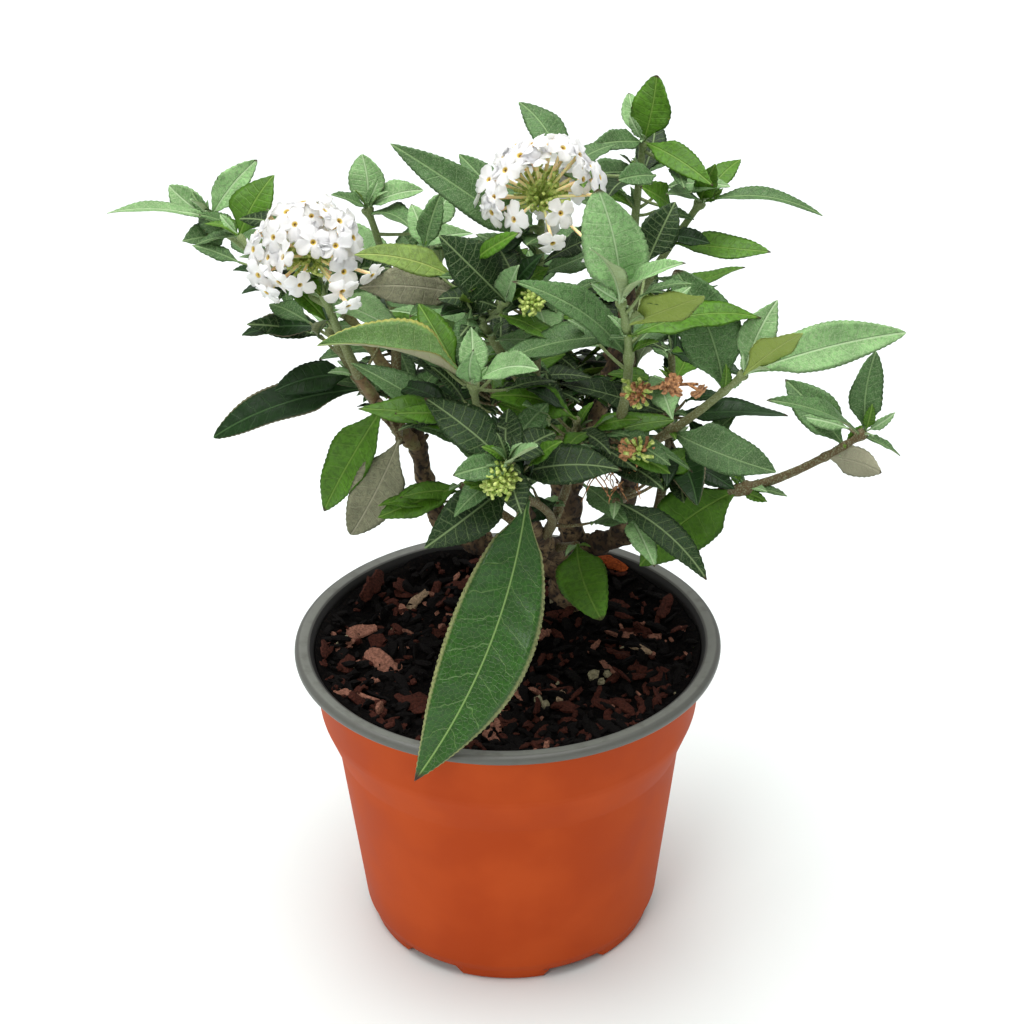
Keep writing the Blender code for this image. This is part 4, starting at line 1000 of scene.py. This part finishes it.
FOLDS = {"y": 0.38, "t": 0.62, "o": 0.30, "m": 0.24, "h": 0.22}
LEAF_ORDER = "ymvodghupt"
leaf_materials = [leaf_material(*LEAF_KINDS[letter]) for letter in LEAF_ORDER]
print("leaf finishes:", len(leaf_materials))

# %% [markdown]
# ## Growing the leaves
# Every listed leaf, and every leaf of the rule, is set where its solid stands: small turns
# are tried in the order that the rule gives, and the first one that meets the solid is
# taken. Small leaves then stand in the axils, and leaves on finer twigs fill the crown, all
# within a few millimetres of the solids.

# %% Leaves on their twigs
NEAR = 0.35            # how close to its solid a leaf must lie, in millimetres


def solid_tree(name):
    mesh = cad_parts[name].data
    return BVHTree.FromPolygons([v.co / MM for v in mesh.vertices],
                                [tuple(p.vertices) for p in mesh.polygons])


def fits(tree, base, axes, length, sag):
    """Tell whether the leaf's upper rib lies on the solid at two of four points."""
    along, _, face = axes
    thick = max(0.55, length / 70) / 2
    met = 0
    for t in (0.40, 0.64, 0.86, 1.0):
        spot = base + along * (length * t)
        if t < 1:
            spot += face * (sag * length * 4 * t * (1 - t) + thick)
        near = tree.find_nearest(spot)
        met += near[3] is not None and near[3] < NEAR
    return met >= 2


def seat(tree, twig, row, sag):
    where, heading, rise, length, width, tilt = row
    base = twig.at(where)
    for turn, lift in TURNS:
        axes = leaf_axes(heading + turn, rise + lift, tilt)
        if fits(tree, base, axes, length, sag):
            return base, axes
    return None, None


SIDES = {"left": [], "centre": [], "right": [], "back": []}
for name in SHOOTS:
    if name.startswith("left") or name.startswith("upper"):
        SIDES["left"].append(name)
    elif name.startswith("back") or name.startswith("inner"):
        SIDES["back"].append(name)
    elif "right" in name or name.startswith("tall"):
        SIDES["right"].append(name)
    else:
        SIDES["centre"].append(name)

BLUNT = ("low_centre_leaf", "left_twisted_leaf", "left_low_foliage")
HANGING_SWAY, HANGING_FULL = 5.5, 4.0      # the great hanging leaf bows and has a wide foot
placed, missed = 0, 0
axils = []
stores = {side: Store() for side in SIDES}
for side, names in SIDES.items():
    for name in names:
        tree = solid_tree(name)
        rule = random.Random("%d %s" % (SEED, name))
        rng = random.Random("looks %s" % name)
        for twig, row in zip(twigs[name], SHOOTS[name]):
            rows = list(zip(row[4], row[6]))
            letters = "mvogmd" if side == "back" else "mvmyg"
            rows += [(spec, rng.choice(letters))
                     for spec in rule_leaves(row[5], RULE_TOP if row[4] else 1.0, rule)]
            for spec, letter in rows:
                hangs = spec[3] > STIFF_LENGTH
                sag = 0.0 if hangs else LEAF_SAG
                base, axes = seat(tree, twig, spec, sag)
                if base is None:
                    missed += 1
                    continue
                placed += 1
                fold = FOLDS.get(letter, FOLD) * (1 if hangs else rng.uniform(0.7, 1.3))
                blunt = spec[5] > 1.25 or name in BLUNT
                grow(stores[side], letter, base, axes, spec[3], spec[4], sag, rng,
                     LEAF_STRIPS, fold=fold,
                     curl=0.0 if hangs else rng.uniform(-0.03, 0.14),
                     blunt=0.62 if blunt else rng.uniform(0.72, 1.0),
                     twist=0.0 if hangs else rng.uniform(-0.6, 0.6),
                     sway=HANGING_SWAY if hangs else rng.uniform(-0.07, 0.07) * spec[3],
                     full=HANGING_FULL if hangs else 0.9)
                axils.append((side, name, base, axes, letter, twig.heading(spec[0])))
print("leaves:", placed, "without a solid, so left out:", missed)

# %% Small leaves in the axils
BARE_AXILS = 0.45      # share of the axils with no small leaf
SMALL_SAG = 0.08
KEEP_OFF = 3.0         # how far small leaves keep off the great hanging leaf
HANGING = solid_tree("hanging_leaf")


def in_the_way(foot, along, length):
    """Tell whether a small leaf would touch the great hanging leaf."""
    spots = [foot + along * length * t for t in (0.0, 0.35, 0.7, 1.0)]
    return min(HANGING.find_nearest(spot)[3] for spot in spots) < KEEP_OFF


rng = random.Random(SEED + 2)
low_corner, high_corner = (np.array(tuple(c)) / MM for c in box_of_solids)
small = 0
for side, name, base, axes, letter, heading in axils:
    along, across, face = axes
    for half in (-1, 1):
        if rng.random() < BARE_AXILS:
            continue
        lean = (along * rng.uniform(0.2, 0.6) + across * half * rng.uniform(0.3, 0.9)
                + heading * rng.uniform(0.5, 1.1)).normalized()
        length = rng.uniform(4, 10)
        face_way = (face - lean * face.dot(lean)).normalized()
        small_axes = (lean, face_way.cross(lean), face_way)
        tip = np.array(tuple(base + lean * length))
        if (tip < low_corner + 2).any() or (tip > high_corner - 2).any():
            continue
        if in_the_way(base, lean, length):
            continue
        look = letter if letter in "yvg" and rng.random() < 0.5 else rng.choice("yymg")
        grow(stores[side], look, base + lean * 0.6, small_axes, length,
             length * rng.uniform(0.3, 0.42), SMALL_SAG, rng, SMALL_STRIPS, fold=0.3,
             curl=rng.uniform(0, 0.15), blunt=0.8, twist=rng.uniform(-0.4, 0.4))
        small += 1
print("small leaves:", small)

# %% Leaves on the finer twigs
rng = random.Random(SEED + 5)
REACH = 4.5            # how far a leaf's tip may lie from the solid leaves
corners, sheets = [], []
for name in SHOOTS:
    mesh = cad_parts[name].data
    first = len(corners)
    corners += [v.co / MM for v in mesh.vertices]
    sheets += [tuple(first + k for k in p.vertices) for p in mesh.polygons]
crown = BVHTree.FromPolygons(corners, sheets)
DENSE = ("inner", "back", "centre", "left_front", "rosette", "left_low", "left_flower")
finer, finest = Store(), Store()
filled = 0
fine_twigs = []
for side, names in SIDES.items():
    for name in names:
        dense, far_side = name.startswith(DENSE), name.startswith("back")
        leaves_per_mm = 2.6 if side == "back" else 1.1 if dense else 0.4
        for twig in twigs[name]:
            tries = int((twig.end - twig.root).length * leaves_per_mm)
            for _ in range(tries):
                base = twig.at(rng.uniform(0.25, 1.0))
                reach = rng.uniform(4, 14)
                a, rise = rng.uniform(0, FULL_TURN), rng.uniform(-0.3, 0.9)
                foot = base + way_at(a, rise) * reach
                length = rng.uniform(11, 23)
                heading = math.degrees(a) + rng.uniform(-50, 50)
                tilt = rng.uniform(-0.49, 0.1) if far_side else rng.uniform(0.1, 0.9)
                axes = leaf_axes(heading, math.degrees(rise) + rng.uniform(-30, 15), tilt)
                near = [crown.find_nearest(foot + axes[0] * length * t)[3] or 99
                        for t in (0.5, 1.0)]
                if max(near) > REACH or in_the_way(foot, axes[0], length):
                    continue
                store = finest if far_side else finer if dense else stores[side]
                grow(store, "mvdgmv" if dense else "mmyg", foot, axes, length,
                     length * rng.uniform(0.32, 0.45), LEAF_SAG, rng, SMALL_STRIPS,
                     curl=rng.uniform(0, 0.12), blunt=0.8, twist=rng.uniform(-0.5, 0.5))
                fine_twigs.append((base, foot))
                filled += 1
print("leaves on finer twigs:", filled)

# %% Leaves that show between the masses
# mass, foot, tip, width and look
LOOSE = (
    ("rear_right_foliage", (50, 38, 221), (41, 32, 230), 9, "g"),
    ("tall_foliage", (41, 6, 217), (49, 12, 233), 11, "v"),
    ("right_tip_foliage", (49, 34, 214), (61, 30, 213), 6, "d"),
    ("left_twisted_leaf", (-35, 9, 172), (-55, 4, 139), 14, "g"),
    ("top_flower_foliage", (44, 22, 237), (33, 12, 240), 8, "m"),
    ("upper_left_foliage", (-20, 30, 218), (-15, 36, 228), 9, "y"),
)
side_of = {name: side for side, names in SIDES.items() for name in names}
for name, foot, tip, width, letter in LOOSE:
    foot, tip = Vector(foot), Vector(tip)
    along = (tip - foot).normalized()
    face = Vector((0, -0.9, 1))
    face = (face - along * face.dot(along)).normalized()
    grow(stores[side_of[name]], letter, foot, (along, face.cross(along), face),
         (tip - foot).length, width, LEAF_SAG, rng, LEAF_STRIPS, fold=0.3, curl=0.05,
         blunt=0.8, twist=rng.uniform(-0.3, 0.3))
    spots = [twig.at(step / 20) for twig in twigs[name] for step in range(21)]
    fine_twigs.append((min(spots, key=lambda spot: (spot - foot).length), foot))
finer.build("leaves_inner", leaf_materials, [n for n in SHOOTS if n.startswith(DENSE)],
            "foliage")
finest.build("leaves_far_side", leaf_materials, [n for n in SHOOTS if n.startswith("back")],
             "foliage")
for side, store in stores.items():
    store.build("leaves_" + side, leaf_materials, SIDES[side], "foliage")

# %% [markdown]
# ## Twigs
# The green twigs are square-shouldered and felted, swollen where each pair of leaves
# joins, and browner at the foot. They are thin closed tubes along the same arcs.

# %% Twigs with swollen joints
rng = random.Random(SEED + 3)
stems = Store()
for name, rows in SHOOTS.items():
    for twig, row in zip(twigs[name], rows):
        joints = [(spec[0], 0.32, 1.3) for spec in row[4]]
        length = (twig.end - twig.root).length
        stems.add(*limb_mesh(twig, int(length) + 8, 10, 0.10, joints, 0.2), look=0)

for base, foot in fine_twigs:
    thin = Limb(base, foot, (0, 0, -0.6), 0.55, 0.4)
    stems.add(*limb_mesh(thin, 6, 6, 0.08), look=0)

# felted green stem, browner at the foot of the crown, its hairs drawn as tufts of 0.5 mm
stem_look, node, shader = new_material("felted green stem", "6a7a48", 0.75)
place = node("TexCoord", out="Object")
height = node("MapRange", node("SeparateXYZ", place, out="Z"), 0.165, 0.215)
base = node("Mix", height, light("594829"), light("74864f"))
fuzz = node("MapRange", node("TexNoise", place, PER_MM / 0.5, 4.0), 0.45, 0.65, 0.0, 0.4)
relief = node("TexNoise", place, PER_MM / 0.8, 3.0)
plug(shader, {"Base Color": node("Mix", fuzz, base, light("a0ab86")),
              "Normal": node("Bump", 0.4, 0.2 * MM, Height=relief)})
stems.build("felted_twigs", [stem_look], list(SHOOTS), "foliage")

# %% [markdown]
# ## Flowers
# Each flower is a slender tube, peach to cream, that opens into four rounded white lobes
# round a yellow-orange eye. A round head carries dozens. Each flower is a ring mesh with
# lobes, bends and a nod of its own. The near side of each head is listed as it shows, and
# the far side follows a spiral.

# %% One flower
PETAL_RINGS = (0.09, 0.2, 0.42, 0.62, 0.82, 0.96, 1.0)
PETAL_STEPS = 40
TUBE_STEPS = 8


def flower_shape(radius, reach, rng):
    """A flower on the Z axis: face near z = reach, tube down to z = 0. The face comes first."""
    rings, maps = [], []
    lobe_size = [rng.uniform(0.9, 1.06) for _ in range(4)]
    bend = [rng.uniform(-0.10, 0.26) for _ in range(4)]
    for sheet in (1, -1):
        order = PETAL_RINGS if sheet > 0 else PETAL_RINGS[-2::-1]
        for share in order:
            for k in range(PETAL_STEPS):
                a = 2 * math.pi * k / PETAL_STEPS
                lobe = int(((a + math.pi / 4) % (2 * math.pi)) // (math.pi / 2))
                wave = abs(math.cos(2 * a))
                edge = radius * lobe_size[lobe] * (0.50 + 0.50 * wave ** 0.32)
                edge *= 1 + 0.045 * math.sin(11 * a + lobe) + 0.035 * math.sin(17 * a + 2 * lobe)
                far = edge * share if share > 0.25 else radius * share
                if 0.25 < share < 0.5:
                    far = 0.5 * (edge * share + radius * share * 0.8)
                rise = -bend[lobe] * radius * share ** 2 * wave
                rise += 0.08 * radius * math.sin(5 * a + lobe) * share ** 2
                rise += sheet * 0.11 * (1 - share ** 4) - 0.35 * (share < 0.1)
                rings.append((far * math.cos(a), far * math.sin(a), reach + rise))
                maps.append((share if sheet > 0 else 1.0, k / PETAL_STEPS, far * MM, 0))
    count = len(PETAL_RINGS) * 2 - 1
    rings += [(0, 0, reach - 1.4), (0, 0, reach - 1.5)]
    maps += [(0, 0, 0, 0)] * 2
    quads, tris = rings_to_faces(count, PETAL_STEPS)
    nod = np.array(Matrix.Rotation(rng.gauss(0, 0.22), 3, "X")
                   @ Matrix.Rotation(rng.gauss(0, 0.22), 3, "Y"))
    rings = (np.array(rings) - (0, 0, reach - 0.5)) @ nod.T + (0, 0, reach - 0.5)
    face = (rings, quads[:, ::-1], tris[:, ::-1], np.array(maps))
    rings, maps = [], []
    for z, r in ((0, 0.34), (0.3, 0.42), (0.6, 0.44), (0.9, 0.52), (1.0, 0.78)):
        for k in range(TUBE_STEPS):
            a = 2 * math.pi * k / TUBE_STEPS
            rings.append((r * math.cos(a), r * math.sin(a), z * (reach - 0.2)))
            maps.append((z, 0.5, 0, 0))
    rings += [(0, 0, 0), (0, 0, reach - 1.2)]
    maps += [(0, 0.5, 0, 0), (1, 0.5, 0, 0)]
    quads, tris = rings_to_faces(5, TUBE_STEPS)
    tube = (np.array(rings), quads[:, ::-1], tris[:, ::-1], np.array(maps))
    return face, tube


def place_shape(shape, root, way, twist):
    """Stand a shape on a root point, its Z axis along way."""
    turn = way.to_track_quat("Z", "Y").to_matrix() @ Matrix.Rotation(twist, 3, "Z")
    points, quads, tris, maps = shape
    return points @ np.array(turn).T + np.array(tuple(root)), quads, tris, maps


def head_directions(axis, count, low_angle, high_angle):
    axis = Vector(axis).normalized()
    side, up = frame_of(axis)
    high, low = math.cos(math.radians(low_angle)), math.cos(math.radians(high_angle))
    for number in range(count):
        c = high + (low - high) * (number + 0.5) / count
        s = math.sqrt(max(0.0, 1 - c * c))
        a = number * math.pi * (3 - 5 ** 0.5)
        yield (axis * c + side * (s * math.cos(a)) + up * (s * math.sin(a))).normalized()


# %% Flower finishes
# white petal, with a yellow ring and a dark orange throat
petal, node, shader = new_material("white petal", "fdfdfe", 0.55)
ring = node("SeparateXYZ", node("UVMap", uv_map="blade"))
shade = node("Mix", node("MapRange", ring, 0.12, 0.22), light("f2bf35"), light("fdfdfe"))
shade = node("Mix", node("MapRange", ring, 0.05, 0.10), light("8a4a12"), shade)
relief = node("TexNoise", node("TexCoord", out="Object"), PER_MM / 1.2, 3.0)
# light passes through a petal about 2 mm
plug(shader, {"Base Color": shade, "Subsurface Weight": 0.8,
              "Subsurface Radius": (1.0, 1.0, 1.0), "Subsurface Scale": 2 * MM,
              "Normal": node("Bump", 0.3, 0.2 * MM, Height=relief)})

# cream tube, peach towards the mouth
tube_look, node, shader = new_material("cream flower tube", "e9d29a", 0.55)
share = node("MapRange", node("SeparateXYZ", node("UVMap", uv_map="blade")), 0.15, 0.8)
plug(shader, {"Base Color": node("Mix", share, light("fbf4ae"), light("ffdda6")),
              "Subsurface Weight": 0.5, "Subsurface Scale": MM})

# yellow-green calyx and buds, and dried rust-brown flowers: name, colour, roughness, lumps
# in mm, detail and two colours
flower_looks = [petal, tube_look]
for title, colour, roughness, lump, detail, one, two in (
        ("yellow-green calyx", "86a040", 0.6, 0.9, 3.0, "86a33e", "cbd67c"),
        ("dried flower", "a55a2c", 0.8, 1.0, 4.0, "6b4526", "c08a5c")):
    look, node, shader = new_material(title, colour, roughness)
    fuzz = node("TexNoise", node("TexCoord", out="Object"), PER_MM / lump, detail)
    share = node("MapRange", fuzz, 0.35, 0.65)
    plug(shader, {"Base Color": node("Mix", share, light(one), light(two))})
    flower_looks.append(look)

# %% Flower heads, buds and seed heads
def bud(store, root, way, length, radius, look, rng):
    """A small closed tube that bends over, swollen at its end."""
    side, _ = frame_of(way)
    arc = Limb(root, root + way * length, side * rng.uniform(-0.35, 0.35) * length,
               radius * 0.7, radius)
    store.add(*limb_mesh(arc, 6, 6, 0.05, ((1.0, 0.35, 1.0),)), look=look)


rng = random.Random(SEED + 4)
blossom = Store()
# Each head has a centre, a radius, and flowers by where they show to the viewer: right of
# the centre, above it (both as shares of the radius) and distance out (same).
LEFT_HEAD = ((-53, -4, 225), 17.3, (
    (-0.34, -0.14, 1.0), (-0.11, -0.56, 1.0), (0.13, 0.09, 0.98), (-0.17, 0.41, 0.96),
    (0.53, -0.62, 1.04), (0.50, -0.68, 1.30), (0.60, -0.36, 0.98), (-0.80, -0.36, 1.0),
    (-0.46, -0.52, 0.96), (-0.90, 0.06, 0.97), (-0.64, 0.60, 0.96), (-0.06, 0.84, 0.94),
    (0.30, 0.64, 0.97), (0.53, 0.45, 1.0), (0.76, 0.20, 0.97), (0.48, 0.04, 1.0),
    (0.88, -0.32, 1.16), (-0.55, 0.22, 0.94), (0.10, 0.62, 0.88), (-0.36, 0.70, 0.9),
    (0.36, 0.24, 0.86), (0.64, -0.12, 0.9), (-0.70, -0.12, 0.88), (0.02, 0.30, 0.84),
    (-0.85, 0.34, 0.94), (0.74, 0.52, 0.92), (0.14, 0.92, 0.9), (-0.66, -0.62, 1.02)))
TOP_HEAD = ((11, -9, 243), 17.3, (
    (-0.43, -0.45, 1.0), (0.29, -0.38, 0.98), (0.15, -0.76, 1.06), (0.55, -0.62, 1.50),
    (-0.74, -0.08, 1.0), (0.86, -0.04, 1.0), (0.92, 0.26, 1.0), (-0.60, 0.36, 0.94),
    (-0.84, 0.22, 0.98), (-0.36, 0.62, 0.92), (-0.16, 0.80, 0.94), (0.36, 0.72, 0.96),
    (0.62, 0.62, 0.97), (0.80, 0.46, 0.95), (-0.62, 0.60, 0.94), (0.50, 0.84, 0.92),
    (-0.90, -0.06, 0.95), (-0.10, 0.62, 0.84), (0.72, 0.22, 0.9), (-0.78, -0.30, 1.0),
    (0.16, 0.86, 0.88), (-0.44, 0.84, 0.92)))
VIEW_LEAN = math.radians(29)


def seen_way(right, above):
    """The way out of a ball to the spot that shows here when looked at from in front."""
    right_way = Vector((1, 0, 0))
    up_way = Vector((0, math.sin(VIEW_LEAN), math.cos(VIEW_LEAN)))
    to_viewer = Vector((0, -math.cos(VIEW_LEAN), math.sin(VIEW_LEAN)))
    depth = math.sqrt(max(0.0, 1 - right ** 2 - above ** 2))
    return (right_way * right + up_way * above + to_viewer * depth).normalized()


FLOWER_RADIUS = 5.2
HEAD_CORE = 2.2        # the tubes start this far from the centre of the head
FAR_BLOOMS, HEAD_BUDS, THREADS = 26, 70, 26


def bloom(centre, way, radius):
    reach = radius - HEAD_CORE
    face, tube = flower_shape(FLOWER_RADIUS * rng.uniform(0.82, 1.04), reach, rng)
    root, twist = centre + way * HEAD_CORE, rng.uniform(0, QUARTER_TURN)
    blossom.add(*place_shape(face, root, way, twist), look=0)
    blossom.add(*place_shape(tube, root, way, twist), look=1)
    bud(blossom, root, way, 3.0, 0.75, 2, rng)


for centre, radius, front in (LEFT_HEAD, TOP_HEAD):
    centre = Vector(centre)
    for right, above, out in front:
        bloom(centre, seen_way(right, above), radius * out)
    # the far side and the crown of the head, which the viewer can't count
    for way in head_directions((0, 0.7, 0.7), FAR_BLOOMS, 0, 90):
        way = (way + Vector([rng.uniform(-0.14, 0.14) for _ in range(3)])).normalized()
        if way.dot(seen_way(0, 0)) < -0.08:
            bloom(centre, way, radius + rng.uniform(-3.6, -0.2))
    for way in head_directions((0, -0.3, 0.95), HEAD_BUDS, 0, 100):
        bud(blossom, centre + way * 1.0, way, rng.uniform(4.0, 8.5), 0.5, 2, rng)
BUD_CLUSTERS = (((-1, -61, 184), 5.2, 70), ((8, -30, 221), 3.6, 40))   # centre, radius, buds
for centre, radius, count in BUD_CLUSTERS:
    centre = Vector(centre)
    for way in head_directions((0, -0.6, 0.8), count, 0, 125):
        bud(blossom, centre, way, radius * rng.uniform(0.75, 1.15), 0.45, 2, rng)
# spent flowers on a stalk, and a green seed head that keeps its calyces
DRIED_SPIKES = (((33, -36, 196), (52, -44, 203), 4), ((27, -24, 172), (38, -38, 180), 3))
for foot, tip, count in DRIED_SPIKES:
    stalk = Limb(foot, tip, (0, 0, 1), 0.6, 0.5)
    blossom.add(*limb_mesh(stalk, 14, 8, 0.1), look=3)
    for number in range(count):
        spot = stalk.at(0.45 + 0.55 * number / count)
        way = Vector((rng.uniform(-0.7, 0.9), -0.7, rng.uniform(-0.4, 0.9))).normalized()
        face, tube = flower_shape(rng.uniform(2.2, 3.0), rng.uniform(3.0, 4.6), rng)
        for shape in (face, tube):
            blossom.add(*place_shape(shape, spot, way, rng.uniform(0, QUARTER_TURN)), look=3)
    for way in head_directions((0, -0.8, 0.6), 34, 0, 130):
        spot = stalk.at(0.9) if count == 3 else stalk.at(0.15)
        bud(blossom, spot, way, rng.uniform(2.6, 5.0), 0.5, rng.choice((2, 2, 3)), rng)
# loose threads of an older spike
for number in range(THREADS):
    foot = Vector((30 + rng.uniform(-5, 8), -32 + rng.uniform(-4, 2), 170 + rng.uniform(-3, 5)))
    end = foot + Vector((rng.uniform(-5, 7), rng.uniform(-4, 1), rng.uniform(-8, 3)))
    thread = Limb(foot, end, [rng.uniform(-1.5, 1.5) for _ in range(3)], 0.22, 0.15)
    blossom.add(*limb_mesh(thread, 7, 5, 0.1), look=3)
blossom.build("flowers_and_buds", flower_looks,
              ["left_flower_foliage", "top_flower_foliage", "rosette_foliage",
               "centre_foliage", "tall_foliage", "inner_front_foliage"], "foliage")

# %% [markdown]
# ## The setting
# A plain pale floor and soft light from all round, as in a product picture. The camera
# stands where the photographer stood: a little above, looking down at 29 degrees.

# %% Floor, light and camera
bpy.ops.object.select_all(action="DESELECT")
bpy.ops.mesh.primitive_plane_add(size=8, location=(0, 0, -0.0002))
floor = bpy.context.object
floor.name = "floor"
# white paper, matt
paper, node, shader = new_material("white paper floor", "e3e9e7", 0.9)
plug(shader, {"Specular IOR Level": 0.1})
floor.data.materials.append(paper)

world = bpy.data.worlds.new("soft studio")
bpy.context.scene.world = world
world.use_nodes = True
ROOM_LIGHT = 0.42
plug(world.node_tree.nodes["Background"], {"Color": (1, 1, 1, 1), "Strength": ROOM_LIGHT})

# place, width and power of the large light above and the small one in front
KEY_LIGHTS = (((-0.1, 0.1, 2.0), 2.0, 62.0), ((-0.7, -1.2, 0.9), 0.6, 5.5))
for number, (spot, size, power) in enumerate(KEY_LIGHTS):
    lamp = bpy.data.lights.new("softbox %d" % number, "AREA")
    lamp.size, lamp.energy = size, power
    holder = bpy.data.objects.new(lamp.name, lamp)
    bpy.context.scene.collection.objects.link(holder)
    aim = Vector((0, 0, 0.12)) - Vector(spot)
    turn = aim.to_track_quat("-Z", "Y").to_matrix().to_4x4()
    holder.matrix_world = Matrix.Translation(spot) @ turn

CAMERA_SPOT = (0.0019, -0.600, 0.473)      # fitted to the rim, the foot and the crown
CAMERA_PITCH, CAMERA_ROLL, LENS = 61, -0.8, 81.35
lens = bpy.data.cameras.new("camera")
lens.sensor_width = 36
lens.lens = LENS
lens.clip_start = 0.01
camera = bpy.data.objects.new("camera", lens)
bpy.context.scene.collection.objects.link(camera)
camera.matrix_world = (Matrix.Translation(CAMERA_SPOT)
                       @ Matrix.Rotation(math.radians(CAMERA_PITCH), 4, "X")
                       @ Matrix.Rotation(math.radians(CAMERA_ROLL), 4, "Z"))
bpy.context.scene.camera = camera
bpy.context.scene.view_settings.view_transform = "Standard"
